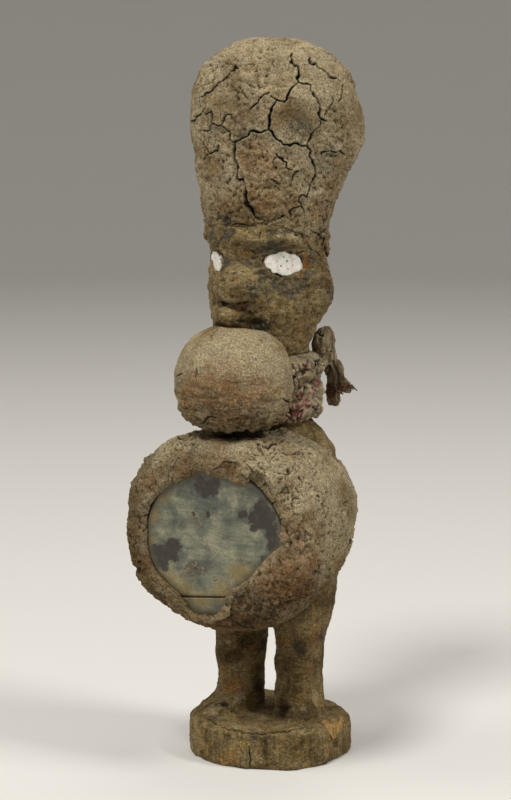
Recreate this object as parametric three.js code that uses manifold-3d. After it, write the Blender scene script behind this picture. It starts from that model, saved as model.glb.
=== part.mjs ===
// A small carved power figure: a standing wooden figure on a round base, with a tall cap of packed
// earth and resin on its head, a ball of the same packing under its chin, and a drum of it on the
// belly that holds a round glass, cracked near its lower edge. The eyes are white inlays. A roll of
// cloth is wound round the neck and tied with a knotted strip.
//
// Millimetres, +Z up. The figure faces -Y and its own left is +X. Every shape is made about the
// upright axis of the body, and the group at the end brings the middle of the base's underside to
// the origin.

import * as THREE from "three";
import { mergeVertices } from "three/addons/utils/BufferGeometryUtils.js";
import Module from "manifold-3d";

const wasm = await Module();
wasm.setup();

// Room left between two pieces that touch
const GAP = 0.3;

// Round base, carved in one with the figure
const BASE_WIDTH = 54.6;
const BASE_DEPTH = 52.6;
const BASE_THICKNESS = 13;
const BASE_FACETS = 13;
const BASE_EDGE_WEAR = 2.2; // how far the top edge is worn in
const STANCE_BACK = 3.2; // the body's axis stands this far behind the middle of the base
const STANCE_RIGHT = 1.4; // and this far to the figure's right of it

// Legs and feet
const LEG_LENGTH = 37;
const LEG_WIDTH = 16.4;
const LEG_DEPTH = 20;
const LEG_SPACING = 22.8;
const FOOT_HEIGHT = 7;
const RIGHT_FOOT_REACH = 18;
const LEFT_FOOT_REACH = 12.5;
const FOOT_SPLAY = 0.22; // how far a foot turns out, as a share of its reach

// Trunk and neck
const TRUNK_LENGTH = 64;
const TRUNK_WIDTH = 47;
const TRUNK_DEPTH = 31;
const NECK_LENGTH = 21;
const NECK_DIAMETER = 25;

// Head, from the jaw to the crown that the cap hides
const HEAD_HEIGHT = 65;
const HEAD_WIDTH = 39.5;
const HEAD_DEPTH = 40;
const FACE_LENGTH = 46; // jaw to the front edge of the cap
const NOSE_REACH = 6.6;
const NOSE_WIDTH = 16.5;
const MOUTH_REACH = 8;
const MOUTH_WIDTH = 16;
const EAR_REACH = 4.4;
const BROW_REACH = 0.8;
const SOCKET_DEPTH = 2.4;

// Eye inlays
const EYE_WIDTH = 12.6;
const EYE_HEIGHT = 7.5;
const EYE_THICKNESS = 1.6;
const EYE_TURN = THREE.MathUtils.degToRad(44); // round the head from the middle of the face
const EYE_RISE = 32.8; // above the jaw
const EYE_STAND = 0.5; // how far an inlay stands out of its socket

// Cap of packed earth and resin on the head
const CAP_HEIGHT = 59;
const CAP_SPREAD = 1.45; // its greatest width and depth as a share of the head's
const CAP_LEAN = 5;
const CAP_FALL = 19; // how far its lower edge falls from the forehead to the nape
const CAP_TUCK = 0.5; // how far its very edge draws in to the head

// Drum on the belly
const DRUM_WIDTH = 72.6;
const DRUM_HEIGHT = 67;
const DRUM_LENGTH = 50;
const DRUM_REACH = 41; // body's axis to the crest of the rim
const DRUM_RISE = 67.7; // top of the base to the middle of the drum
const DRUM_RIGHT = 0.7; // its axis to the figure's right of the body's
const DRUM_LEDGE = 31; // middle of the drum to the flat on its top
const DRUM_BACK_SLANT = 6;

// Glass in the drum
const GLASS_DIAMETER = 52.4;
const GLASS_THICKNESS = 1.8;
const GLASS_DROP = 3.5; // below the middle of the drum
const GLASS_SET_BACK = 2.6; // behind the crest of the rim
const RIM_OPENING = 49.2;
const RIM_ROUNDING = 1.4; // how deep the opening's edge is rounded
const CRACK_DROP = 17; // middle of the glass to its crack
const CRACK_WIDTH = 0.5;

// Ball of packing under the chin
const BALL_DIAMETER = 39.2;
const BALL_REACH = 26; // body's axis to its middle
const BALL_RISE = 3.0; // drum's flat to the ball's flat underside
const BALL_DROP = 15.2; // its middle to its flat underside
const BALL_TOP = 0.92; // height of its upper half as a share of its radius

// Roll of cloth round the neck, and the knotted strip that ties it
const CLOTH_HEIGHT = 22;
const CLOTH_THICKNESS = 5.5;
const STRIP_WIDTH = 3.6;
const STRIP_TILT = 7; // how much higher the strip lies at the knot than round the middle
const KNOT_TURN = THREE.MathUtils.degToRad(134); // round the neck from the front
const KNOT_SIZE = 9.5;
const KNOT_RISE = 5; // the knot's middle above the strip
const TAIL_LENGTH = 17;
const TAIL_WIDTH = 4.8;
const TAIL_TWIST = 1.1; // how far the hanging ends turn their broad side from the neck

// Heights that the pieces share
const HIPS = BASE_THICKNESS + LEG_LENGTH;
const NECK_FOOT = HIPS + TRUNK_LENGTH;
const JAW = NECK_FOOT + NECK_LENGTH;
const DRUM_MIDDLE = BASE_THICKNESS + DRUM_RISE;
const BALL_MIDDLE = DRUM_MIDDLE + DRUM_LEDGE + BALL_RISE + BALL_DROP;
const EAR_RISE = 0.45 * FACE_LENGTH;
const CLOTH_DIAMETER = NECK_DIAMETER + 2 * CLOTH_THICKNESS;

const UP = new THREE.Vector3(0, 0, 1);
const bell = (t) => Math.exp(-t * t);

// An angle as a turn between -PI and PI, 0 at the front.
const turnFrom = (angle) => Math.atan2(Math.sin(angle), Math.cos(angle));
const mix = (a, b, t) => a + (b - a) * t;

// The columns of a list of stations at one share of the way, on smooth curves through them.
// Each station is [share, value, value, ...].
function along(stations, share) {
  const last = stations.length - 1;
  let i = stations.findIndex((row) => row[0] > share) - 1;
  if (i < 0) i = share <= stations[0][0] ? 0 : last - 1;
  const [a, b] = [stations[i], stations[i + 1]];
  const [before, after] = [stations[Math.max(i - 1, 0)], stations[Math.min(i + 2, last)]];
  const span = b[0] - a[0];
  const t = THREE.MathUtils.clamp((share - a[0]) / span, 0, 1);
  return a.slice(1).map((start, k) => {
    const end = b[k + 1];
    const leave = ((end - before[k + 1]) / (b[0] - before[0])) * span;
    const arrive = ((after[k + 1] - start) / (after[0] - a[0])) * span;
    const bend = 2 * start - 2 * end + leave + arrive;
    return start + t * (leave + t * (3 * (end - start) - 2 * leave - arrive + t * bend));
  });
}

// Angles run from the front towards the figure's left, so a ring runs anticlockwise seen from above.
function aroundRing(count, pointAt) {
  return Array.from({ length: count }, (_, i) => pointAt((2 * Math.PI * i) / count));
}

// A point of an oval ring; squareness 1 is an ellipse and lower values have fuller corners.
function ovalPoint(angle, halfWidth, halfDepth, squareness = 1) {
  const bulge = (v) => Math.sign(v) * Math.abs(v) ** squareness;
  return new THREE.Vector3(
    halfWidth * bulge(Math.sin(angle)),
    -halfDepth * bulge(Math.cos(angle)),
    0,
  );
}

// A closed body through rings of equally many points, from the lowest ring to the highest.
function loft(rings) {
  const count = rings[0].length;
  const middle = (ring) => ring.reduce((sum, p) => sum.add(p), new THREE.Vector3()).divideScalar(count);
  const points = [...rings.flat(), middle(rings[0]), middle(rings.at(-1))];
  const low = points.length - 2;
  const high = points.length - 1;
  const top = (rings.length - 1) * count;
  const faces = [];
  for (let i = 0; i < count; i++) {
    const next = (i + 1) % count;
    faces.push(low, next, i, high, top + i, top + next);
    for (let r = 0; r < top; r += count) {
      faces.push(r + i, r + next, r + count + next);
      faces.push(r + i, r + count + next, r + count + i);
    }
  }
  return new THREE.BufferGeometry().setFromPoints(points).setIndex(faces);
}

// A loft with one ring at each share of the way, its points given by angle and share.
function loftAt(shares, count, pointAt) {
  return loft(shares.map((share) => aroundRing(count, (angle) => pointAt(angle, share))));
}

function evenSteps(from, to, steps) {
  return Array.from({ length: steps + 1 }, (_, i) => mix(from, to, i / steps));
}

// A geometry as a solid that can be joined and cut.
function toSolid(geometry) {
  const bare = new THREE.BufferGeometry().setAttribute("position", geometry.getAttribute("position"));
  bare.setIndex(geometry.index);
  const merged = mergeVertices(bare, 1e-4);
  const kept = [];
  const index = merged.index.array;
  for (let i = 0; i < index.length; i += 3) {
    const [a, b, c] = [index[i], index[i + 1], index[i + 2]];
    if (a !== b && b !== c && c !== a) kept.push(a, b, c);
  }
  return new wasm.Manifold(
    new wasm.Mesh({
      numProp: 3,
      vertProperties: new Float32Array(merged.attributes.position.array),
      triVerts: new Uint32Array(kept),
    }),
  );
}

function toGeometry(solid) {
  const mesh = solid.getMesh();
  const geometry = new THREE.BufferGeometry();
  geometry.setAttribute("position", new THREE.Float32BufferAttribute(mesh.vertProperties, 3));
  geometry.setIndex([...mesh.triVerts]);
  geometry.computeVertexNormals();
  return geometry;
}

const join = (...solids) => solids.reduce((whole, next) => whole.add(next));
const cut = (solid, ...cutters) => cutters.reduce((rest, next) => rest.subtract(next), solid);

// The base: a slab chopped to shape by straight strokes round its side.
function baseSolid(grow) {
  const strokes = Array.from({ length: BASE_FACETS }, (_, i) => ({
    facing: ((i + 0.28 * Math.sin(5 * i)) * 2 * Math.PI) / BASE_FACETS,
    reach: 0.985 + 0.02 * Math.sin(3.7 * i),
  }));
  const edge = (angle) =>
    Math.min(...strokes.map(({ facing, reach }) => reach / Math.max(Math.cos(angle - facing), 0.3)), 1.03);
  const ring = (height, inset) =>
    aroundRing(36, (angle) => {
      const reach = edge(angle);
      const halfWidth = reach * (BASE_WIDTH / 2) - inset + grow;
      const halfDepth = reach * (BASE_DEPTH / 2) - inset + grow;
      const point = ovalPoint(angle, halfWidth, halfDepth);
      return point.add(new THREE.Vector3(STANCE_RIGHT, -STANCE_BACK, height));
    });
  return toSolid(
    loft([
      ring(-grow, 0.3 * BASE_EDGE_WEAR),
      ring(0.12 * BASE_THICKNESS, 0),
      ring(0.88 * BASE_THICKNESS, 0.1 * BASE_EDGE_WEAR),
      ring(BASE_THICKNESS + grow, BASE_EDGE_WEAR),
    ]),
  );
}

// One leg with its foot, from inside the base to inside the hips. side is 1 for the figure's left.
function legSolid(side, footReach, grow) {
  const half = { width: LEG_WIDTH / 2, depth: LEG_DEPTH / 2 };
  const heel = 0.95 * half.depth;
  const footMiddle = (heel - footReach) / 2;
  const footHalf = (heel + footReach) / LEG_DEPTH;
  const ankle = FOOT_HEIGHT / LEG_LENGTH;
  // Share of the leg's length, shift backwards, half width and half depth
  const stations = [
    [-0.06, footMiddle, 1.1, footHalf],
    [0.03, footMiddle, 1.08, 0.97 * footHalf],
    [0.5 * ankle, 0.45 * footMiddle, 1.03, mix(footHalf, 1, 0.5)],
    [ankle, 0.1 * footMiddle, 0.98, 1.0],
    [0.36, 0.5, 0.95, 0.93],
    [0.5, -0.5, 1.0, 1.03],
    [0.6, 0, 0.97, 1.0],
    [0.8, 1.2, 1.04, 1.05],
    [1.0, 2.2, 1.2, 1.2],
    [1.25, 3, 1.25, 1.25],
  ];
  const shares = [-0.06, 0.03, 0.5 * ankle, ankle, 0.36, 0.43, 0.5, 0.6, 0.8, 1, 1.25];
  return toSolid(
    loftAt(shares, 14, (angle, share) => {
      const [back, width, depth] = along(stations, share);
      const point = ovalPoint(angle, width * half.width + grow, depth * half.depth + grow, 0.9);
      point.y += back;
      const toe = Math.max(-point.y, 0) * Math.max(1 - share / ankle, 0);
      point.x += side * (LEG_SPACING / 2 + FOOT_SPLAY * toe);
      return point.setZ(BASE_THICKNESS + share * LEG_LENGTH);
    }),
  );
}

// Trunk and neck, from the hips to inside the head.
function trunkSolid(grow) {
  const [neckWide, neckDeep] = [NECK_DIAMETER / TRUNK_WIDTH, NECK_DIAMETER / TRUNK_DEPTH];
  // Share of the trunk's length, shift backwards, half width and half depth as shares
  const stations = [
    [-0.1, 2.5, 0.7, 0.62],
    [-0.03, 3, 0.88, 0.9],
    [0.09, 3.2, 0.96, 1.02],
    [0.28, 3, 0.97, 0.98],
    [0.5, 3, 1.0, 0.97],
    [0.72, 2.5, 1.02, 0.93],
    [0.85, 2, 0.95, 0.88],
    [0.94, 1.5, 0.74, 0.83],
    [1.0, 1, mix(neckWide, 0.74, 0.14), neckDeep],
    [1.08, 0.5, neckWide, neckDeep],
  ];
  const neckTop = 1 + (NECK_LENGTH + 0.1 * HEAD_HEIGHT) / TRUNK_LENGTH;
  return toSolid(
    loftAt([...stations.map(([share]) => share), neckTop], 24, (angle, share) => {
      const [back, width, depth] = along(stations, Math.min(share, 1.08));
      const spine = 0.035 * TRUNK_DEPTH * bell((angle - Math.PI) / 0.22) * bell((share - 0.45) / 0.4);
      const point = ovalPoint(
        angle,
        (width * TRUNK_WIDTH) / 2 + grow,
        (depth * TRUNK_DEPTH) / 2 - spine + grow,
        0.94,
      );
      point.y += back;
      return point.setZ(HIPS + share * TRUNK_LENGTH);
    }),
  );
}

// Share of the head's height, shift backwards, half width and half depth, all as shares
const HEAD_STATIONS = [
  [0, -0.22, 0.42, 0.5],
  [0.03, -0.22, 0.62, 0.74],
  [0.08, -0.2, 0.73, 0.92],
  [0.154, -0.18, 0.8, 0.97],
  [0.25, -0.14, 0.9, 1.0],
  [0.34, -0.1, 0.96, 1.0],
  [0.46, -0.09, 0.99, 1.0],
  [0.57, -0.09, 0.98, 1.0],
  [0.65, -0.08, 1.01, 1.02],
  [0.72, -0.07, 1.02, 1.02],
  [0.79, -0.05, 0.94, 0.94],
  [0.88, 0, 0.76, 0.775],
  [0.955, 0, 0.46, 0.475],
  [1, 0, 0.12, 0.12],
];

// A point of the head's surface: a rounded block with nose, mouth, eye hollows, brow and ears.
function headPoint(angle, share, grow = 0) {
  const [back, width, depth] = along(HEAD_STATIONS, share);
  const rise = share * HEAD_HEIGHT;
  const point = ovalPoint(angle, (width * HEAD_WIDTH) / 2, (depth * HEAD_DEPTH) / 2);
  const front = Math.max(Math.cos(angle), 0) ** 0.5;
  const noseTip = 0.475 * FACE_LENGTH;
  const faceShare = (height) => height / FACE_LENGTH;
  const slope = THREE.MathUtils.clamp(faceShare(rise - noseTip) / 0.3, 0, 1);
  const noseHalf = (NOSE_WIDTH / 2) * mix(1, 0.5, slope);
  const noseLine = bell(faceShare(rise - noseTip) / (rise < noseTip ? 0.07 : 0.196));
  const nose = NOSE_REACH * noseLine * bell(point.x / noseHalf) * front;
  const mouthLine = bell((faceShare(rise) - 0.305) / 0.087);
  const mouth = MOUTH_REACH * mouthLine * bell((2 * point.x) / MOUTH_WIDTH) * front;
  const eyes = bell((Math.abs(turnFrom(angle)) - EYE_TURN) / 0.34);
  const sockets = SOCKET_DEPTH * eyes * bell((rise - 0.97 * EYE_RISE) / (0.73 * EYE_HEIGHT));
  const browLine = bell((rise - EYE_RISE - 1.07 * EYE_HEIGHT) / (0.35 * EYE_HEIGHT));
  const brow = BROW_REACH * browLine * bell(point.x / (0.43 * HEAD_WIDTH)) * front;
  const earLine = bell(faceShare(rise - EAR_RISE) / 0.174);
  const ears = EAR_REACH * earLine * bell((Math.abs(turnFrom(angle)) - 1.75) / 0.32);
  point.multiplyScalar(1 + (nose + mouth + brow - sockets + ears + grow) / Math.max(point.length(), 1));
  point.y += (back * HEAD_DEPTH) / 2;
  const lift = share <= 0 ? -grow : share >= 1 ? grow : 0;
  return point.setZ(JAW + rise + lift);
}

// Rings are close together on the face and wide apart under the cap, and points closer at the front.
function headSolid(grow) {
  const face = evenSteps(0.04, 0.68, 16);
  const shares = [0, 0.015, ...face, 0.75, 0.83, 0.9, 0.955, 1];
  return toSolid(
    loftAt(shares, 32, (angle, share) => headPoint(angle - 0.42 * Math.sin(angle), share, grow)),
  );
}

// Where an eye sits: its middle on the head, facing out. side is 1 for the figure's left.
function eyePlace(side) {
  const angle = side * EYE_TURN;
  const share = EYE_RISE / HEAD_HEIGHT;
  const middle = headPoint(angle, share);
  const across = headPoint(angle + 0.3, share).sub(headPoint(angle - 0.3, share)).normalize();
  const up = headPoint(angle, share + 0.05).sub(headPoint(angle, share - 0.05)).normalize();
  const out = across.clone().cross(up).normalize();
  const place = new THREE.Matrix4().makeBasis(across, out.clone().cross(across), out);
  return place.setPosition(middle.addScaledVector(out, EYE_STAND - EYE_THICKNESS));
}

// An eye's inlay, a flat chip with an uneven almond outline, its back at z = 0. The shape that cuts
// its socket is grown all round and runs on outwards.
function eyeGeometry(grow = 0, runOn = 0) {
  const outline = aroundRing(18, (angle) => {
    const uneven = 1 + 0.05 * Math.sin(3 * angle + 1) + 0.03 * Math.sin(7 * angle);
    const point = ovalPoint(angle, uneven * (EYE_WIDTH / 2), uneven * (EYE_HEIGHT / 2), 1.12);
    return new THREE.Vector2(point.x, point.y).multiplyScalar(1 + grow / point.length());
  });
  const depth = EYE_THICKNESS + runOn + grow;
  const chip = new THREE.ExtrudeGeometry(new THREE.Shape(outline), { depth, bevelEnabled: false });
  return chip.translate(0, 0, -grow);
}

const eyeSockets = () =>
  [1, -1].map((side) => toSolid(eyeGeometry(GAP, 2 * SOCKET_DEPTH).applyMatrix4(eyePlace(side))));

// The whole carving as one solid, grown by a gap where it cuts what rests on it.
function carvingSolid(grow = 0) {
  return join(
    baseSolid(grow),
    legSolid(1, LEFT_FOOT_REACH, grow),
    legSolid(-1, RIGHT_FOOT_REACH, grow),
    trunkSolid(grow),
    headSolid(grow),
  );
}

// The cap: a tall bulb that leans back, with a sloping lower edge. Heights are shares of the cap's
// height above the forehead, so its edge at the nape lies below 0.
const CAP_STATIONS = [
  [-0.34, -0.4, 0.717],
  [-0.1, -0.4, 0.727],
  [0, -0.26, 0.757],
  [0.06, -0.2, 0.767],
  [0.16, 0.1, 0.815],
  [0.265, 0.35, 0.885],
  [0.37, 0.75, 0.955],
  [0.5, 0.95, 1.0],
  [0.645, 0.75, 0.98],
  [0.77, 0.72, 0.905],
  [0.865, 0.68, 0.78],
  [0.937, 0.65, 0.6],
  [0.98, 0.55, 0.4],
  [1, 0.5, 0.12],
];

function capSolid() {
  const forehead = JAW + FACE_LENGTH;
  // Steps on an arc put the rings closer together where the top curves over
  const shares = evenSteps(0, 1, 14).map((t) => Math.sin((Math.PI / 2) * t) ** 1.2);
  return toSolid(
    loftAt(shares, 28, (angle, share) => {
      const edge = (-CAP_FALL / CAP_HEIGHT) * (0.5 - 0.5 * Math.cos(angle));
      const height = mix(edge, 1, share);
      const [lean, radius] = along(CAP_STATIONS, height);
      const dents = 0.011 * Math.sin(3 * angle + 5 * height) + 0.009 * Math.sin(5 * angle - 9 * height + 2);
      const reach = (radius * (1 + dents) * CAP_SPREAD) / 2;
      const tuck = share === 0 ? CAP_TUCK : 0;
      const point = ovalPoint(angle, reach * HEAD_WIDTH - tuck, reach * HEAD_DEPTH - tuck);
      point.y += lean * CAP_LEAN;
      return point.setZ(forehead + height * CAP_HEIGHT);
    }),
  );
}

// How far the rim's opening reaches from its middle: round, with tongues of packing over the glass.
function rimOpening(angle) {
  const degrees = THREE.MathUtils.radToDeg(angle);
  const nearest = (d) => ((((degrees - d) % 360) + 540) % 360) - 180;
  const tongue = (d, spread, reach) => reach * bell(nearest(d) / spread);
  return (RIM_OPENING / 2) * (1 - tongue(322, 20, 0.22) - tongue(70, 13, 0.1));
}

// A ring about the drum's axis at one distance forward, from a function that gives its reach to the
// figure's left and upwards at each angle. The drum is made lying on its back and then stood up.
function drumRing(forward, reachAt, slant = 0) {
  return aroundRing(34, (turn) => {
    const angle = turn - Math.PI / 2;
    const [left, up] = reachAt(angle);
    return new THREE.Vector3(left, up, forward - slant * Math.sin(angle));
  });
}

const standUp = (geometry) => geometry.rotateX(Math.PI / 2).translate(-DRUM_RIGHT, 0, DRUM_MIDDLE);

function drumSolid() {
  // Share of the drum's length from the back, and its reach as a share of the widest
  const stations = [
    [0, 0.66],
    [0.05, 0.79],
    [0.18, 0.905],
    [0.38, 0.965],
    [0.58, 0.99],
    [0.76, 1.0],
    [0.87, 0.975],
    [0.94, 0.92],
    [0.98, 0.85],
    [1.0, 0.775],
  ];
  const back = DRUM_REACH - DRUM_LENGTH;
  const shares = [0, 0.03, 0.08, 0.18, 0.32, 0.48, 0.64, 0.76, 0.85, 0.91, 0.955, 0.985, 1];
  const outside = shares.map((share) => {
    const [reach] = along(stations, share);
    const side = (angle) => {
      const dents = 0.008 * Math.sin(4 * angle + 6 * share) + 0.006 * Math.sin(7 * angle - 5 * share);
      // Its upper corners are fuller than the lower ones
      const point = ovalPoint(angle + Math.PI / 2, DRUM_WIDTH / 2, DRUM_HEIGHT / 2, angle > 0 ? 0.9 : 0.95);
      return [point.x * reach * (1 + dents), point.y * reach * (1 + dents)];
    };
    return drumRing(back + share * DRUM_LENGTH, side, DRUM_BACK_SLANT * (1 - share) ** 1.5);
  });
  const round = (reachAt) => (angle) => {
    return [reachAt(angle) * Math.cos(angle), reachAt(angle) * Math.sin(angle) - GLASS_DROP];
  };
  const glassBack = DRUM_REACH - GLASS_SET_BACK - GLASS_THICKNESS - GAP;
  const lipBack = DRUM_REACH - GLASS_SET_BACK + GAP;
  const recess = () => GLASS_DIAMETER / 2 + GAP;
  const inside = [
    drumRing(DRUM_REACH - 0.3 * RIM_ROUNDING, round((angle) => rimOpening(angle) + RIM_ROUNDING)),
    drumRing(DRUM_REACH - RIM_ROUNDING, round(rimOpening)),
    drumRing(lipBack, round(rimOpening)),
    drumRing(lipBack, round(recess)),
    drumRing(glassBack, round(recess)),
  ];
  const above = new THREE.BoxGeometry(2 * DRUM_WIDTH, 4 * DRUM_REACH, DRUM_HEIGHT);
  above.translate(0, 0, DRUM_MIDDLE + DRUM_LEDGE + DRUM_HEIGHT / 2);
  return cut(toSolid(standUp(loft([...outside, ...inside]))), toSolid(above));
}

// A disc facing forwards where the glass lies.
function glassSolid() {
  const disc = new THREE.CylinderGeometry(GLASS_DIAMETER / 2, GLASS_DIAMETER / 2, GLASS_THICKNESS, 48);
  const front = DRUM_REACH - GLASS_SET_BACK;
  disc.translate(-DRUM_RIGHT, GLASS_THICKNESS / 2 - front, DRUM_MIDDLE - GLASS_DROP);
  return toSolid(disc);
}

// A block over the part of the glass below a height under its middle.
function belowGlassLine(drop) {
  const block = new THREE.BoxGeometry(2 * GLASS_DIAMETER, 2 * DRUM_REACH, GLASS_DIAMETER);
  block.translate(0, -DRUM_REACH, DRUM_MIDDLE - GLASS_DROP - drop - GLASS_DIAMETER / 2);
  return toSolid(block);
}

// A solid turned about an upright axis in the middle plane, from a profile of [radius, height] pairs.
function turned(profile, sides, y) {
  const points = profile.map(([radius, height]) => new THREE.Vector2(radius, height));
  return toSolid(new THREE.LatheGeometry(points, sides).rotateX(Math.PI / 2).translate(0, y, 0));
}

// The ball under the chin: full in the cheeks and flat below.
function ballSolid() {
  const radius = BALL_DIAMETER / 2;
  const flat = BALL_MIDDLE - BALL_DROP;
  const fuller = (v) => Math.sign(v) * Math.abs(v) ** 0.9;
  const lowest = -Math.asin((BALL_DROP / radius) ** (1 / 0.9));
  const arc = evenSteps(lowest, Math.PI / 2, 10).map((angle) => [
    Math.max(radius * fuller(Math.cos(angle)), 0),
    BALL_MIDDLE + radius * fuller(Math.sin(angle)) * (angle > 0 ? BALL_TOP : 1),
  ]);
  arc.at(-1)[0] = 0;
  return turned([[0, flat], [0.84 * arc[0][0], flat], ...arc.slice(1)], 22, -BALL_REACH);
}

// The roll of cloth: two soft rounds, the lower one fuller.
function clothSolid(grow = 0) {
  const outer = CLOTH_DIAMETER / 2 + grow;
  const inner = NECK_DIAMETER / 2 - 2;
  const low = NECK_FOOT + 0.5;
  const height = (share) => low + share * CLOTH_HEIGHT;
  const profile = [
    [inner, height(0) - grow],
    [0.86 * outer, height(0) - grow],
    [0.97 * outer, height(0.12)],
    [outer, height(0.3)],
    [0.97 * outer, height(0.48)],
    [0.93 * outer, height(0.6)],
    [0.96 * outer, height(0.74)],
    [0.91 * outer, height(0.9)],
    [0.78 * outer, height(1) + grow],
    [inner, height(1) + grow],
  ];
  return turned([...profile, profile[0]], 24, 0);
}

// A point of the strip's route round the roll of cloth, higher towards the knot.
function stripPoint(angle) {
  const radius = CLOTH_DIAMETER / 2 - 0.1;
  const height = NECK_FOOT + 0.56 * CLOTH_HEIGHT + STRIP_TILT * Math.cos(angle - KNOT_TURN);
  return ovalPoint(angle, radius, radius).setZ(height);
}

// The strip, whose two ends stop just short of meeting, inside the knot.
function stripSolid(grow) {
  const steps = 22;
  const open = 0.1;
  const points = evenSteps(KNOT_TURN + open, KNOT_TURN + 2 * Math.PI - open, steps).map(stripPoint);
  const section = aroundRing(6, (angle) => {
    const point = ovalPoint(angle, STRIP_WIDTH / 2 + grow, STRIP_WIDTH / 2 + grow);
    return new THREE.Vector2(point.x, point.y);
  });
  const route = { steps, extrudePath: new THREE.CatmullRomCurve3(points), bevelEnabled: false };
  return toSolid(new THREE.ExtrudeGeometry(new THREE.Shape(section), route));
}

// The knot: a tall loop over a lower lump that reaches down to the strip.
function knotSolid(middle, grow) {
  const lump = (size, rise, tilt) => {
    const half = size.map((share) => (share * KNOT_SIZE) / 2 + grow);
    const ball = new THREE.SphereGeometry(1, 10, 7).scale(...half).rotateX(tilt).rotateZ(KNOT_TURN);
    return toSolid(ball.translate(middle.x, middle.y, middle.z + rise));
  };
  const loop = lump([0.8, 0.85, 1.1], 0.1 * KNOT_SIZE, 0.35);
  return join(loop, lump([1.0, 0.85, 0.75], -0.4 * KNOT_SIZE, -0.3));
}

// A hanging end of the strip: it falls from the knot, drifts outwards and ends in a frayed tuft.
function tailSolid(start, drift, length, grow) {
  // Share of the way up, share of the drift, half width and half thickness
  const stations = [
    [0, 1, 0.9, 0.5],
    [0.1, 0.95, 1.3, 0.85],
    [0.25, 0.82, 1.1, 0.7],
    [0.4, 0.6, 0.85, 0.5],
    [0.8, 0.12, 0.95, 0.55],
    [1, 0, 0.7, 0.5],
  ];
  return toSolid(
    loftAt([0, 0.08, 0.18, 0.3, 0.42, 0.7, 1], 8, (angle, share) => {
      const [drifted, width, thickness] = along(stations, share);
      const halves = [width, thickness].map((value) => (value * TAIL_WIDTH) / 2 + grow);
      const point = ovalPoint(angle, ...halves).applyAxisAngle(UP, KNOT_TURN + TAIL_TWIST);
      return point.add(start).addScaledVector(drift, drifted).setZ(start.z - (1 - share) * length);
    }),
  );
}

// The strip, its knot and the two ends that hang from it, as one solid.
function knottedStrip(grow = 0) {
  const out = new THREE.Vector3(Math.sin(KNOT_TURN), -Math.cos(KNOT_TURN), 0);
  const side = new THREE.Vector3(-out.y, out.x, 0);
  const knot = stripPoint(KNOT_TURN).addScaledVector(out, 0.12 * KNOT_SIZE);
  knot.z += KNOT_RISE;
  const root = (shift) => knot.clone().addScaledVector(out, 0.2 * KNOT_SIZE).addScaledVector(side, shift);
  const outwards = out.clone().multiplyScalar(0.32 * TAIL_LENGTH);
  const aside = out.clone().multiplyScalar(0.18 * TAIL_LENGTH).addScaledVector(side, 0.15 * TAIL_LENGTH);
  return join(
    stripSolid(grow),
    knotSolid(knot, grow),
    tailSolid(root(-0.25 * TAIL_WIDTH), outwards, TAIL_LENGTH, grow),
    tailSolid(root(0.3 * TAIL_WIDTH), aside, 1.3 * TAIL_LENGTH, grow),
  );
}

const finish = {
  wood: new THREE.MeshStandardMaterial({ color: 0x6b5a41, roughness: 0.8, metalness: 0 }),
  packing: new THREE.MeshStandardMaterial({ color: 0x8c7b62, roughness: 0.92, metalness: 0 }),
  glass: new THREE.MeshStandardMaterial({ color: 0x828674, roughness: 0.22, metalness: 0 }),
  inlay: new THREE.MeshStandardMaterial({ color: 0xe6e4da, roughness: 0.35, metalness: 0 }),
  cloth: new THREE.MeshStandardMaterial({ color: 0x7a6552, roughness: 0.95, metalness: 0 }),
};

function piece(name, shape, material) {
  const geometry = shape.isBufferGeometry ? shape : toGeometry(shape);
  const mesh = new THREE.Mesh(geometry, material);
  mesh.name = name;
  return mesh;
}

function eye(name, side) {
  const mesh = piece(name, eyeGeometry(), finish.inlay);
  mesh.applyMatrix4(eyePlace(side));
  return mesh;
}

function buildFigure() {
  const carvingGrown = carvingSolid(GAP);
  const clothGrown = clothSolid(GAP);
  const stripGrown = knottedStrip(GAP);
  const cloth = cut(clothSolid(), carvingGrown, stripGrown);
  const ball = cut(ballSolid(), carvingGrown, clothGrown, stripGrown);
  const glass = glassSolid();
  const group = new THREE.Group();
  group.add(
    piece("carved_figure", cut(carvingSolid(), ...eyeSockets()), finish.wood),
    eye("left_eye", 1),
    eye("right_eye", -1),
    piece("head_cap", cut(capSolid(), carvingGrown), finish.packing),
    piece("chin_ball", ball, finish.packing),
    piece("belly_drum", cut(drumSolid(), carvingGrown), finish.packing),
    piece("belly_glass", cut(glass, belowGlassLine(CRACK_DROP)), finish.glass),
    piece("glass_shard", glass.intersect(belowGlassLine(CRACK_DROP + CRACK_WIDTH)), finish.glass),
    piece("neck_cloth", cloth, finish.cloth),
    piece("knotted_strip", cut(knottedStrip(), carvingGrown), finish.cloth),
  );
  group.position.set(-STANCE_RIGHT, STANCE_BACK, 0);
  return group;
}

export default buildFigure();
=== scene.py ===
import functools
import itertools
import math

import bmesh
import bpy
import numpy as np
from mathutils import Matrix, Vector
from mathutils.bvhtree import BVHTree


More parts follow.
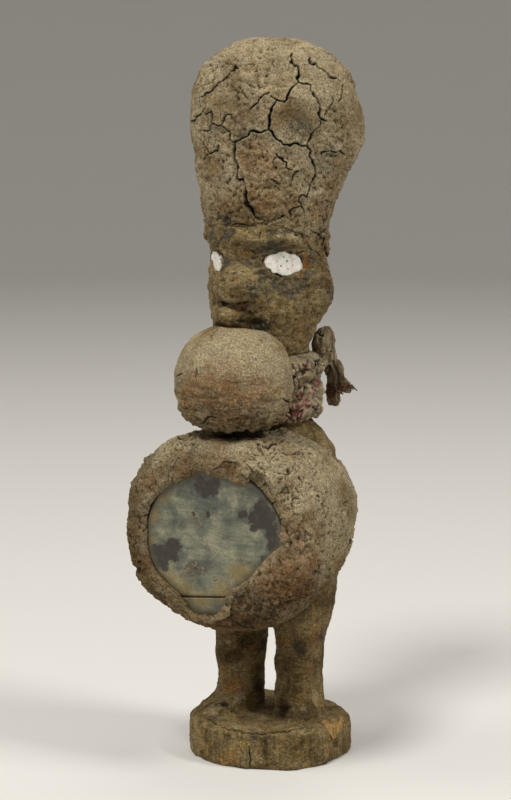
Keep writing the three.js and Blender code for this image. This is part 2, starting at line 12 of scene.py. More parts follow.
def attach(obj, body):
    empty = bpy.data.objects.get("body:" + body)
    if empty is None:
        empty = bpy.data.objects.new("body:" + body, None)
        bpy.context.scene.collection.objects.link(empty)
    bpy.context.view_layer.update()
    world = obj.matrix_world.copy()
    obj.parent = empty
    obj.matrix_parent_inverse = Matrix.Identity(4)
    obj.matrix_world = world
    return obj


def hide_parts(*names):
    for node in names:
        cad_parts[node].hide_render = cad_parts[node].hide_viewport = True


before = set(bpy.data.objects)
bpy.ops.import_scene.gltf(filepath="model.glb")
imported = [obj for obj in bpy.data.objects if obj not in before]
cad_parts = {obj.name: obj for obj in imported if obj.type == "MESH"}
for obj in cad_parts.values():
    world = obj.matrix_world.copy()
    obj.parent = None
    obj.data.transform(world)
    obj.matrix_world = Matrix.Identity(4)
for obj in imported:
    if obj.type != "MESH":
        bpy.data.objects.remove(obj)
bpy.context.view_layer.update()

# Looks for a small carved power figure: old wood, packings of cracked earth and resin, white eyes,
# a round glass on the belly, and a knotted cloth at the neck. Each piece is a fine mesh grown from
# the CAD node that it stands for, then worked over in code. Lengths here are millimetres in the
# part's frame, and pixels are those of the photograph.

MM = 0.001

# The photograph and the camera that took it
PHOTO_WIDTH = 511
PHOTO_HEIGHT = 800
SENSOR = 36
FOCAL_PIXELS = 2200
CAMERA_TURN = math.radians(27)
CAMERA_PITCH = math.radians(8.3)
CAMERA_DISTANCE = 734
CAMERA_HEIGHT = 227
AXIS_PIXEL = 270  # where the body's upright axis is in the photograph
PIXELS_A_MM = 3.0  # on the figure, near enough
BODY_AXIS = np.array([-1.4, 3.2, 0.0])

# Places on the part
JAW = 135
NECK_FOOT = 114
BASE_TOP = 13
GLASS_MIDDLE = np.array([-2.1, -35.2, 77.2])
GLASS_RADIUS = 26.2
RIM_RADIUS = 24.6
CRACK_HEIGHT = GLASS_MIDDLE[2] - 17
BALL_MIDDLE = np.array([-1.4, -22.8, 129.9])
CAP_FOOT = 182  # the cap's lower edge in front
CAP_TOP = 236
GLASS_FACE = GLASS_MIDDLE[1]
RECESS_REACH = 27.2  # where the drum holds the glass
RECESS_FRONT = -35.9
RECESS_BACK = -30

# Each CAD node's piece here, its mesh's grain in millimetres and the rounds that even it out
PIECES = {
    "head_cap": ("packed_cap", 0.47, 37),
    "chin_ball": ("packed_ball", 0.42, 40),
    "belly_drum": ("packed_drum", 0.45, 34),
    "carved_figure": ("wooden_figure", 0.54, 11),
    "belly_glass": ("glass_pane", 0.42, 4),
    "glass_shard": ("glass_sliver", 0.42, 4),
    "left_eye": ("left_eye_inlay", 0.17, 5),
    "right_eye": ("right_eye_inlay", 0.17, 5),
    "neck_cloth": ("cloth_roll", 0.4, 14),
    "knotted_strip": ("knotted_band", 0.3, 12),
}


# Noise


def hashed(cell, seed):
    """A number from 0 to 1 for each whole-numbered cell."""
    x, y, z = (cell[:, k] for k in range(3))
    h = ((x * 73856093) ^ (y * 19349663) ^ (z * 83492791) ^ (seed * 40503 + 977)) & 0xFFFFFFFF
    h = ((h ^ (h >> 15)) * 0x5BD1E995) & 0xFFFFFFFF
    h = ((h ^ (h >> 13)) * 0x2545F491) & 0xFFFFFFFF
    return ((h ^ (h >> 16)) & 0xFFFFFF) / 0xFFFFFF


def noise(points, size, seed=0):
    """Smooth noise from -1 to 1 with lumps about size across."""
    places = points / size
    cell = np.floor(places).astype(np.int64)
    t = places - cell
    t = t * t * t * (t * (t * 6 - 15) + 10)
    total = np.zeros(len(points))
    for corner in itertools.product((0, 1), repeat=3):
        weight = np.prod(np.where(corner, t, 1 - t), axis=1)
        total += weight * hashed(cell + corner, seed)
    return 2 * total - 1


def layered(points, size, layers, seed=0):
    """Noise with finer and weaker noise over it."""
    return sum(noise(points, size / 2**k, seed + 31 * k) / 2**k for k in range(layers))


def scattered(points, size, seed=0):
    """Distances to the nearest and next nearest of spots strewn about size apart, and a number for the
    nearest."""
    places = points / size
    cell = np.floor(places).astype(np.int64)
    nearest = np.full(len(points), 9.0)
    second = nearest.copy()
    which = np.zeros(len(points))
    for step in itertools.product((-1, 0, 1), repeat=3):
        here = cell + step
        spot = here + np.stack([hashed(here, seed + k) for k in range(3)], axis=1)
        away = np.linalg.norm(places - spot, axis=1)
        closer = away < nearest
        second = np.where(closer, nearest, np.minimum(second, away))
        which = np.where(closer, hashed(here, seed + 3), which)
        nearest = np.where(closer, away, nearest)
    return nearest * size, second * size, which


def warped(points, size, amount, seed):
    """The points pushed about, so that what is drawn with them wanders."""
    return points + amount * np.stack([noise(points, size, seed + k) for k in range(3)], axis=1)


def smoothstep(low, high, value):
    t = np.clip((value - low) / (high - low), 0, 1)
    return t * t * (3 - 2 * t)


def bell(value):
    return np.exp(-value * value)


def all_round(turns, reaches, turn):
    """The reach at a turn, between those of an outline's points, all the way round."""
    order = np.argsort(turns)
    turns, reaches = turns[order], reaches[order]
    turns = np.concatenate([turns - 2 * np.pi, turns, turns + 2 * np.pi])
    return np.interp(turn, turns, np.tile(reaches, 3))


# Camera and pixels


def camera_place():
    away = np.array([math.sin(CAMERA_TURN), -math.cos(CAMERA_TURN), 0]) * CAMERA_DISTANCE
    return BODY_AXIS + away + np.array([0, 0, CAMERA_HEIGHT])


def pixel_ray(x, y):
    """The direction in which the camera sees a pixel."""
    right = np.array([math.cos(CAMERA_TURN), math.sin(CAMERA_TURN), 0])
    level = np.array([-math.sin(CAMERA_TURN), math.cos(CAMERA_TURN), 0])
    forward = level * math.cos(CAMERA_PITCH) - np.array([0, 0, math.sin(CAMERA_PITCH)])
    up = np.cross(right, forward)
    ray = forward + right * (x - AXIS_PIXEL) / FOCAL_PIXELS - up * (y - PHOTO_HEIGHT / 2) / FOCAL_PIXELS
    return ray / np.linalg.norm(ray)


def make_camera():
    camera = bpy.data.objects.new("camera", bpy.data.cameras.new("camera"))
    bpy.context.scene.collection.objects.link(camera)
    camera.location = Vector(camera_place() * MM)
    camera.rotation_euler = (math.pi / 2 - CAMERA_PITCH, 0, CAMERA_TURN)
    camera.data.sensor_width = SENSOR
    camera.data.lens = FOCAL_PIXELS * SENSOR / PHOTO_HEIGHT
    camera.data.shift_x = (PHOTO_WIDTH / 2 - AXIS_PIXEL) / PHOTO_HEIGHT
    camera.data.clip_start = 0.02
    bpy.context.scene.camera = camera


# Meshes

EVENING = 0.5  # how far a point goes towards its neighbours in one round
MOST_TRIANGLES = 192000  # on one piece
JOINT_REACH = 2.5  # how near another piece lies over a hidden point, from 1 mm under the surface
JOINT_MARGIN = 6  # rows of points left as they are inside the edge of a joint


class Surface:
    """A fine mesh grown from a CAD node, as arrays: its points, their normals and what marks them."""

    def __init__(self, node, hold=None):
        name, voxel, rounds = PIECES[node]
        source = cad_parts[node]
        self.piece = bpy.data.objects.new(name, source.data.copy())
        bpy.context.scene.collection.objects.link(self.piece)
        even = self.piece.modifiers.new("even", "REMESH")
        even.mode = "VOXEL"
        even.voxel_size = voxel * MM
        self.settle()
        self.node = node
        self.marks = {}
        self.read()
        strength = np.full(len(self.points), EVENING)
        if hold is not None:
            strength *= 1 - hold(self.points)
        before = self.points
        self.points = relaxed(before, self.edges, rounds, strength)
        self.write()
        lost = ((before - self.points) * self.normals).sum(axis=1)[:, None]
        self.push(relaxed(lost, self.edges, 2 * rounds, np.full(len(before), EVENING))[:, 0])
        self.write()

    def settle(self):
        """Makes the modifiers part of the mesh."""
        graph = bpy.context.evaluated_depsgraph_get()
        done = bpy.data.meshes.new_from_object(self.piece.evaluated_get(graph))
        self.piece.modifiers.clear()
        self.piece.data = done

    def read(self):
        mesh = self.piece.data
        flat = np.empty(3 * len(mesh.vertices), np.float32)
        mesh.vertices.foreach_get("co", flat)
        self.points = flat.reshape(-1, 3).astype(float) / MM
        mesh.vertex_normals.foreach_get("vector", flat)
        self.normals = flat.reshape(-1, 3).astype(float)
        ends = np.empty(2 * len(mesh.edges), np.int32)
        mesh.edges.foreach_get("vertices", ends)
        self.edges = ends.reshape(-1, 2)

    def write(self):
        mesh = self.piece.data
        mesh.vertices.foreach_set("co", (self.points * MM).astype(np.float32).ravel())
        mesh.update()
        self.read()

    def refine(self, chosen):
        """Halves the faces whose corners are chosen."""
        work = bmesh.new()
        work.from_mesh(self.piece.data)
        edges = [e for e in work.edges if chosen[e.verts[0].index] and chosen[e.verts[1].index]]
        bmesh.ops.subdivide_edges(work, edges=edges, cuts=1, use_grid_fill=True)
        work.to_mesh(self.piece.data)
        work.free()
        self.read()

    def covered(self):
        """Whether each point lies well inside a joint, where another piece hides it."""
        hidden = np.zeros(len(self.points), bool)
        for node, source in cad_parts.items():
            if node == self.node:
                continue
            corners = [v.co / MM for v in source.data.vertices]
            tree = BVHTree.FromPolygons(corners, [tuple(f.vertices) for f in source.data.polygons])
            for index in np.flatnonzero(~hidden):
                out = Vector(self.normals[index])
                start = Vector(self.points[index]) - out
                hidden[index] = tree.ray_cast(start, out, JOINT_REACH)[0] is not None
        a, b = self.edges[:, 0], self.edges[:, 1]
        for _ in range(JOINT_MARGIN):
            bare = ~hidden
            hidden[a[bare[b]]] = False
            hidden[b[bare[a]]] = False
        return hidden

    def thin_out(self):
        """Merges faces that nobody sees until the piece is within its number of triangles."""
        triangles = sum(len(f.vertices) - 2 for f in self.piece.data.polygons)
        if triangles <= MOST_TRIANGLES:
            return
        group = self.piece.vertex_groups.new(name="hidden")
        group.add([int(index) for index in np.flatnonzero(self.covered())], 1.0, "REPLACE")
        fewer = self.piece.modifiers.new("fewer", "DECIMATE")
        fewer.ratio = MOST_TRIANGLES / triangles
        fewer.vertex_group = "hidden"
        self.settle()
        self.piece.vertex_groups.clear()

    def tree(self):
        """For finding where a ray meets the surface."""
        faces = [tuple(f.vertices) for f in self.piece.data.polygons]
        return BVHTree.FromPolygons([Vector(p) for p in self.points], faces)

    def push(self, height):
        """Moves the surface out along its normals."""
        self.points = self.points + self.normals * height[:, None]

    def hollows(self, height, rounds=7):
        """How far each point stands above its surroundings, or below them where negative."""
        return height - relaxed(height[:, None], self.edges, rounds, np.full(len(height), 0.6))[:, 0]

    def done(self, slot, material):
        """Writes the mesh and its marks, and hands the piece to the frame."""
        self.write()
        mesh = self.piece.data
        for name, values in self.marks.items():
            mesh.attributes.new(name, "FLOAT", "POINT").data.foreach_set("value", values.astype(np.float32))
        self.thin_out()
        mesh = self.piece.data
        mesh.materials.clear()
        mesh.materials.append(material)
        mesh.shade_smooth()
        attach(self.piece, "root")
        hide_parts(self.node)
        return self.piece


def relaxed(points, edges, rounds, strength):
    """Each point's row of numbers drawn towards its neighbours', over and over."""
    a, b = edges[:, 0], edges[:, 1]
    count = len(points)
    degree = np.maximum(np.bincount(a, minlength=count) + np.bincount(b, minlength=count), 1)
    for _ in range(rounds):
        mean = np.empty_like(points)
        for k in range(points.shape[1]):
            column = points[:, k]
            mean[:, k] = np.bincount(a, column[b], count) + np.bincount(b, column[a], count)
        points = points + (mean / degree[:, None] - points) * strength[:, None]
    return points


# Lines on a surface, cracks and relief

ROUTE_STEP = 1.2  # pixels between the points of a line
ROUTE_WANDER = 0.85  # pixels that a line strays
JUMP = 4  # a longer step of a line leaps over an edge and isn't cut
CRACK_REACH = 4.0
FINEST_CRACK = 0.26  # half the width that the meshes can still show


def seen_from_camera(points, normals):
    """How squarely each point faces the photograph's camera, 1 for straight on."""
    towards = camera_place() - points
    towards /= np.linalg.norm(towards, axis=1, keepdims=True)
    return (towards * normals).sum(axis=1)


def spot(tree, x, y):
    """Where a pixel lies on a surface."""
    hit = tree.ray_cast(Vector(camera_place()), Vector(pixel_ray(x, y)))[0]
    return None if hit is None else np.array(hit)


def route(tree, pixels, seed):
    """A line of pixels laid on a surface, with a jagged wander."""
    found = []
    for (x0, y0), (x1, y1) in zip(pixels[:-1], pixels[1:]):
        parts = max(1, round(math.hypot(x1 - x0, y1 - y0) / ROUTE_STEP))
        for k in range(parts):
            found.append((x0 + (x1 - x0) * k / parts, y0 + (y1 - y0) * k / parts))
    found.append(pixels[-1])
    flat = np.array([[x, y, 0.0] for x, y in found])
    shift = [ROUTE_WANDER * layered(flat, 4.0, 2, seed + 5 * k) for k in range(2)]
    flat[:, 0] += shift[0]
    flat[:, 1] += shift[1]
    on = [spot(tree, x, y) for x, y, _ in flat]
    return np.array([p for p in on if p is not None])


def beside(points, line, reach):
    """Each point's distance from a line on the surface, up to reach, how far along the line that is, the
    line's length, and 1 or -1 for the side that the point is on."""
    distance = np.full(len(points), float(reach))
    along = np.zeros(len(points))
    side = np.zeros(len(points))
    run = 0.0
    for a, b in zip(line[:-1], line[1:]):
        length = np.linalg.norm(b - a)
        if length > JUMP:
            continue
        low, high = np.minimum(a, b) - reach, np.maximum(a, b) + reach
        near = np.flatnonzero(((points > low) & (points < high)).all(axis=1))
        offset = points[near] - a
        t = np.clip(offset @ (b - a) / max(length**2, 1e-9), 0, 1)
        away = np.linalg.norm(offset - t[:, None] * (b - a), axis=1)
        better = away < distance[near]
        distance[near[better]] = away[better]
        along[near[better]] = run + t[better] * length
        across = np.cross(b - a, a - BODY_AXIS)
        side[near[better]] = np.sign(offset[better] @ across)
        run += length
    return distance, along, run, side


def crack_depth(points, line, width, depth, seed):
    """How deep a crack along a line cuts, how much painted shade darkens it, and how its two sides stand.
    """
    cut, dark, stand = np.zeros((3, len(points)))
    distance, along, length, side = beside(points, line, CRACK_REACH)
    near = np.flatnonzero(distance < CRACK_REACH - 0.05)
    place, distance, along, side = points[near], distance[near], along[near], side[near]
    taper = 0.35 + 0.65 * smoothstep(0, 2.5, np.minimum(along, length - along))
    ways = np.stack([along, np.zeros_like(along), np.zeros_like(along)], axis=1)
    half = np.maximum(width / 2 * taper * (1 + 0.5 * layered(ways, 2.0, 2, seed)), FINEST_CRACK)
    ragged = 0.3 * noise(place, 0.75, seed + 1) + 0.35 * noise(place, 1.8, seed + 2)
    torn = np.maximum(distance + half * ragged, 0)
    cut[near] = depth * taper * np.clip(1 - (torn / half) ** 2, 0, 1) ** 0.6
    dark[near] = np.clip(1.1 - torn / (1.2 * half), 0, 1) * min(1, 0.4 + depth)
    step = 0.34 * min(depth, 1.0) * taper * np.exp(-distance / 1.6) * side * noise(ways, 14.0, seed + 3)
    stand[near] = 0.14 * bell((distance - half - 0.4) / 0.5) + step
    return cut, dark, stand


def crack_all(points, cracks, seed):
    """The deepest cut, the darkest shade and the summed stand of many cracks."""
    cut, dark, stand = np.zeros((3, len(points)))
    for k, (width, depth, line) in enumerate(cracks):
        c, shade, edge = crack_depth(points, line, width, depth, seed + k)
        cut, dark, stand = np.maximum(cut, c), np.maximum(dark, shade), stand + edge
    return cut, dark, np.clip(stand, -0.5, 0.5)


def laid(tree, cracks, seed):
    """Cracks with their pixels laid on a surface."""
    return [(w, d, route(tree, pixels, seed + k)) for k, (w, d, pixels) in enumerate(cracks)]


def near_lines(points, cracks, reach):
    """True for the points near any crack."""
    near = np.zeros(len(points), bool)
    for _, _, line in cracks:
        near |= beside(points, line, reach)[0] < 0.98 * reach
    return near


def pores(points, size, radius, depth, share, seed):
    """Small round pits in some of the cells."""
    nearest, _, which = scattered(points, size, seed)
    rim = radius * (0.5 + 0.7 * ((which * 37) % 1))
    chosen = which < share
    return np.where(chosen, depth * np.clip(1 - (nearest / rim) ** 2, 0, 1), 0.0)


def crumbly(points, size, seed):
    """Sharp-edged lumps and pits, about -1 to 1: rounded tops with narrow gaps between them."""
    bent = warped(points, 1.6 * size, 0.45 * size, seed)
    nearest, second, which = scattered(bent, size, seed + 5)
    gap = smoothstep(0.0, 0.35 * size, second - nearest)
    return gap * (0.7 + 0.9 * (which - 0.5)) - 0.6 + 0.35 * layered(points, 0.6 * size, 2, seed + 9)


def flakes(points, size, seed):
    """Thin crusts with sharp ragged edges, in two layers, from about -0.5 to 1."""
    field = layered(warped(points, size, 0.4 * size, seed), size, 4, seed + 4)
    return smoothstep(-0.04, 0.05, field) - 0.5 + 0.5 * smoothstep(0.38, 0.46, field)


def hairlines(points, size, width, seed, wander):
    """A net of thin lines: 1 on a line and 0 away from it."""
    nearest, second, _ = scattered(warped(points, size / 2.5, wander, seed + 9), size, seed)
    return np.clip(1 - (second - nearest) / width, 0, 1)


def crazed(points, size, spread, seed, cut, dark):
    """Adds a faint net of cracks, in patches about spread across, to what cuts a surface and to its painted
    shade.
    """
    patches = smoothstep(-0.1, 0.3, layered(points, spread, 2, seed + 2))
    faint = hairlines(points, size, 0.4, seed, 1.9) * patches
    return np.maximum(cut, 0.3 * faint), np.maximum(dark, 0.7 * faint**2)


# Materials

EARTH_PALE = (0.35, 0.298, 0.198)
EARTH = (0.25, 0.195, 0.112)
EARTH_BROWN = (0.165, 0.112, 0.052)
EARTH_GREY = (0.222, 0.197, 0.137)
EARTH_RED = (0.205, 0.103, 0.04)
EARTH_DARK = (0.06, 0.04, 0.018)
EARTH_SHADE = (0.27, 0.2, 0.115)
# Near-black painted shade for cracks, pits and the glass's covered edge
DEEP_SHADE = (0.010, 0.008, 0.005)
# Soot's grey-black, which also paints shadow under the ball, low on the drum and in the face's recesses
SOOT_AND_SHADE_COLOUR = (0.056, 0.053, 0.042)
RESIN = (0.22, 0.10, 0.03)
WOOD = (0.128, 0.092, 0.038)
WOOD_PALE = (0.22, 0.17, 0.085)
WOOD_DARK = (0.046, 0.029, 0.007)
WOOD_OCHRE = (0.25, 0.155, 0.045)
WOOD_SHADE = (0.28, 0.2, 0.07)
FRESH_WOOD = (0.5, 0.32, 0.12)
FRESH_WOOD_DARK = (0.24, 0.135, 0.045)
WHITE = (1, 1, 1)
# Tints for a field's low, middle and high values
EARTH_GRAIN = [(0.32, (0.45, 0.41, 0.35)), (0.5, (1.0, 0.99, 0.97)), (0.66, (1.5, 1.47, 1.38))]
EARTH_SAND = [(0.34, (0.5, 0.46, 0.4)), (0.5, WHITE), (0.66, (1.55, 1.5, 1.4))]
EARTH_STREAKS = [(0.36, (0.42, 0.36, 0.29)), (0.5, WHITE), (0.62, (1.45, 1.38, 1.25))]
WOOD_GRAIN = [(0.3, (0.5, 0.45, 0.4)), (0.5, WHITE), (0.7, (1.35, 1.3, 1.2))]
WOOD_SPOTS = [(0.32, (0.4, 0.36, 0.31)), (0.5, WHITE), (0.66, (1.6, 1.54, 1.4))]
WOOD_SAND = [(0.34, (0.5, 0.46, 0.4)), (0.5, WHITE), (0.66, (1.5, 1.46, 1.36))]
WOOD_FIBRES = [(0.34, (0.55, 0.5, 0.45)), (0.5, WHITE), (0.64, (1.5, 1.42, 1.25))]


class Paint:
    """Builds one material's nodes."""

    def __init__(self, name, roughness, specular):
        self.material = bpy.data.materials.new(name)
        self.material.use_nodes = True
        self.tree = self.material.node_tree
        self.shader = self.tree.nodes["Principled BSDF"]
        self.shader.inputs["Roughness"].default_value = roughness
        self.shader.inputs["Specular IOR Level"].default_value = specular
        self.place = self.node("ShaderNodeTexCoord").outputs["Object"]

    def node(self, kind, inputs=(), **settings):
        made = self.tree.nodes.new(kind)
        for name, value in settings.items():
            setattr(made, name, value)
        for key, value in dict(inputs).items():
            if isinstance(value, bpy.types.NodeSocket):
                self.tree.links.new(value, made.inputs[key])
            else:
                made.inputs[key].default_value = value
        return made

    def mark(self, name):
        return self.node("ShaderNodeAttribute", attribute_name=name).outputs["Fac"]

    def patchy(self, name):
        """A mark broken up into ragged patches."""
        return self.math("MULTIPLY", self.between(self.strewn(name, (2.4, 1.2), (0.7, 0.7)), 0.2, 0.8), 0.9)

    def noise(self, size, detail=3, roughness=0.55, stretch=None, distortion=0.0):
        """A noise field from 0 to 1 with lumps about size across."""
        where = self.place
        if stretch is not None:
            where = self.node("ShaderNodeMapping", {"Vector": where, "Scale": stretch}).outputs[0]
        inputs = {"Vector": where, "Scale": 1 / (size * MM), "Detail": detail, "Roughness": roughness}
        inputs["Distortion"] = distortion
        return self.node("ShaderNodeTexNoise", inputs).outputs["Fac"]

    def specks(self, size, radius):
        """1 on small dots, fading to 0."""
        cells = self.node("ShaderNodeTexVoronoi", {"Vector": self.place, "Scale": 1 / (size * MM)})
        return self.between(cells.outputs["Distance"], radius / size, 0.4 * radius / size)

    def between(self, value, low, high):
        """0 at low and 1 at high, smoothly; high may be the smaller."""
        inputs = {"Value": value, "From Min": min(low, high), "From Max": max(low, high)}
        if low > high:
            inputs["To Min"], inputs["To Max"] = 1.0, 0.0
        made = self.node("ShaderNodeMapRange", inputs, interpolation_type="SMOOTHSTEP")
        return made.outputs["Result"]

    def wander(self, size, amount):
        """Noise about 0, to make an edge ragged."""
        return self.math("MULTIPLY", self.math("SUBTRACT", self.noise(size, 5, 0.68), 0.5), amount)

    def math(self, operation, a, b):
        return self.node("ShaderNodeMath", {0: a, 1: b}, operation=operation).outputs[0]

    def mix(self, first, second, share, kind="MIX"):
        made = self.node("ShaderNodeMix", data_type="RGBA", blend_type=kind)
        ends = {0: share, 6: first, 7: second}
        for index, value in ends.items():
            if isinstance(value, bpy.types.NodeSocket):
                self.tree.links.new(value, made.inputs[index])
            elif index == 0:
                made.inputs[0].default_value = value
            else:
                made.inputs[index].default_value = (*value, 1)
        return made.outputs[2]

    def over(self, below, above, field, share):
        """A colour laid over another by a share of a field."""
        return self.mix(below, above, self.math("MULTIPLY", field, share))

    def tinted(self, colour, field, stops, share):
        """A colour multiplied by a ramp's tints."""
        return self.mix(colour, self.ramp(field, stops), share, "MULTIPLY")

    def strewn(self, name, *ragged):
        """A mark with noise added to it, each given as (size, amount)."""
        noises = [self.wander(size, amount) for size, amount in ragged]
        return functools.reduce(lambda a, b: self.math("ADD", a, b), noises, self.mark(name))

    def ramp(self, value, stops):
        made = self.node("ShaderNodeValToRGB", {"Fac": value})
        marks = made.color_ramp.elements
        for k, (position, colour) in enumerate(stops):
            mark = marks[k] if k < len(marks) else marks.new(position)
            mark.position = position
            mark.color = (*colour, 1)
        return made.outputs["Color"]

    def finish(self, colour, heights):
        """Wires the colour, and bumps from (field, height in millimetres) pairs."""
        self.tree.links.new(colour, self.shader.inputs["Base Color"])
        normal = None
        for field, height in heights:
            inputs = {"Height": field, "Distance": height * MM, "Strength": 1.0}
            if normal is not None:
                inputs["Normal"] = normal
            normal = self.node("ShaderNodeBump", inputs).outputs["Normal"]
        if normal is not None:
            self.tree.links.new(normal, self.shader.inputs["Normal"])
        return self.material


def earth_material():
    """Dry packed earth and resin: patches of tan, grey and brown, grit, pores, soot, and painted shade in
    cracks and hollows, low down and under things, with painted highlights on ridges.
    """
    p = Paint("packed_earth", 0.95, 0.12)
    patches = p.noise(11, 5, 0.6, distortion=0.6)
    colour = p.ramp(patches, [(0.25, EARTH_BROWN), (0.42, EARTH), (0.58, EARTH_PALE), (0.75, EARTH_GREY)])
    colour = p.over(colour, EARTH_GREY, p.between(p.noise(7, 3), 0.48, 0.7), 0.6)
    colour = p.over(colour, EARTH_BROWN, p.between(p.noise(3.4, 4), 0.52, 0.72), 0.5)
    colour = p.mix(colour, EARTH_RED, p.mark("red"))
    colour = p.mix(colour, EARTH_PALE, p.mark("dust"))
    # Soot, and painted shadow under the ball and low on the drum
    colour = p.mix(colour, SOOT_AND_SHADE_COLOUR, p.patchy("soot_and_shade"))
    grain = p.noise(0.75, 4, 0.75)
    colour = p.tinted(colour, grain, EARTH_GRAIN, 0.9)
    sand = p.noise(0.36, 2, 0.6)
    colour = p.tinted(colour, sand, EARTH_SAND, 0.75)
    streaks = p.noise(1.5, 4, 0.65, stretch=(0.28, 0.28, 1.1), distortion=0.8)
    colour = p.tinted(colour, streaks, EARTH_STREAKS, p.mark("streak"))
    flecks = p.specks(1.7, 0.34)
    colour = p.over(colour, EARTH_DARK, flecks, 0.7)
    relief = p.mark("relief")
    # Painted shade in the hollows and painted highlights on the ridges of the relief
    colour = p.over(colour, EARTH_DARK, p.between(relief, -0.07, -0.3), 0.85)
    colour = p.over(colour, EARTH_PALE, p.between(relief, 0.06, 0.25), 0.55)
    colour = p.mix(colour, EARTH_SHADE, p.mark("shade"), "MULTIPLY")
    # Painted shade in the cracks
    colour = p.mix(colour, DEEP_SHADE, p.mark("crack"))
    return p.finish(colour, [(p.noise(1.3, 4, 0.7), 0.45), (grain, 0.34), (sand, 0.12), (flecks, -0.2)])


def wood_material():
    """Old carved wood, grained along Z on the base and crusted with dust and soot on the head, with painted
    shade in recesses, on the legs and in hollows and cracks, and painted highlights on ridges.
    """
    p = Paint("old_wood", 0.84, 0.24)
    patches = p.noise(7, 5, 0.65, distortion=0.5)
    colour = p.ramp(patches, [(0.3, WOOD_DARK), (0.43, WOOD), (0.58, WOOD_PALE), (0.74, WOOD)])
    colour = p.over(colour, WOOD_OCHRE, p.between(p.noise(4, 4), 0.54, 0.7), 0.6)
    colour = p.mix(colour, WOOD_OCHRE, p.patchy("ochre"))
    # Soot, and painted shadow under the nose and in the recess beside the mouth
    colour = p.mix(colour, SOOT_AND_SHADE_COLOUR, p.patchy("soot_and_shade"))
    colour = p.over(colour, EARTH_PALE, p.patchy("dust"), 0.8)
    colour = p.mix(colour, EARTH_RED, p.mark("red"))
    grain = p.noise(1.0, 4, 0.62, stretch=(1, 1, 0.06))
    colour = p.tinted(colour, grain, WOOD_GRAIN, p.mark("grain"))
    fine = p.noise(0.75, 4, 0.76)
    colour = p.tinted(colour, fine, WOOD_SPOTS, 0.9)
    colour = p.tinted(colour, p.noise(0.36, 2, 0.6), WOOD_SAND, 0.7)
    strokes = p.noise(0.9, 3, 0.65, stretch=(0.3, 0.3, 1.1), distortion=1.0)
    colour = p.tinted(colour, strokes, WOOD_FIBRES, 0.6)
    relief = p.mark("relief")
    # Painted shade in the hollows and painted highlights on the ridges of the relief
    colour = p.over(colour, WOOD_DARK, p.between(relief, -0.05, -0.25), 0.9)
    colour = p.over(colour, WOOD_PALE, p.between(relief, 0.05, 0.2), 0.6)
    colour = p.mix(colour, WOOD_SHADE, p.mark("shade"), "MULTIPLY")
    chipped = p.between(p.strewn("fresh", (1.6, 0.9)), 0.0, 0.1)
    splinters = p.ramp(p.noise(0.8, 3, stretch=(1, 1, 0.3)), [(0.35, FRESH_WOOD_DARK), (0.6, FRESH_WOOD)])
    colour = p.mix(colour, splinters, chipped)
    colour = p.mix(colour, RESIN, p.mark("resin"))
    # Painted shade in the cracks, the grooves and the nostril
    colour = p.mix(colour, DEEP_SHADE, p.mark("crack"))
    return p.finish(colour, [(grain, 0.14), (fine, 0.36), (strokes, 0.5), (p.noise(1.9, 3), 0.4)])


def paint_spots(surface, tree, name, spots, ragged, seed):
    """Marks round patches given as (x, y, radius in pixels, strength), with ragged edges."""
    edge = ragged * layered(surface.points, 3.5, 2, seed)
    mark = surface.marks.get(name, np.zeros(len(surface.points)))
    for x, y, radius, strength in spots:
        middle = spot(tree, x, y)
        if middle is None:
            continue
        size = radius / PIXELS_A_MM
        away = np.linalg.norm(surface.points - middle, axis=1) + edge
        mark = np.maximum(mark, strength * smoothstep(1.15 * size, 0.55 * size, away))
    surface.marks[name] = mark


# The cap of packing

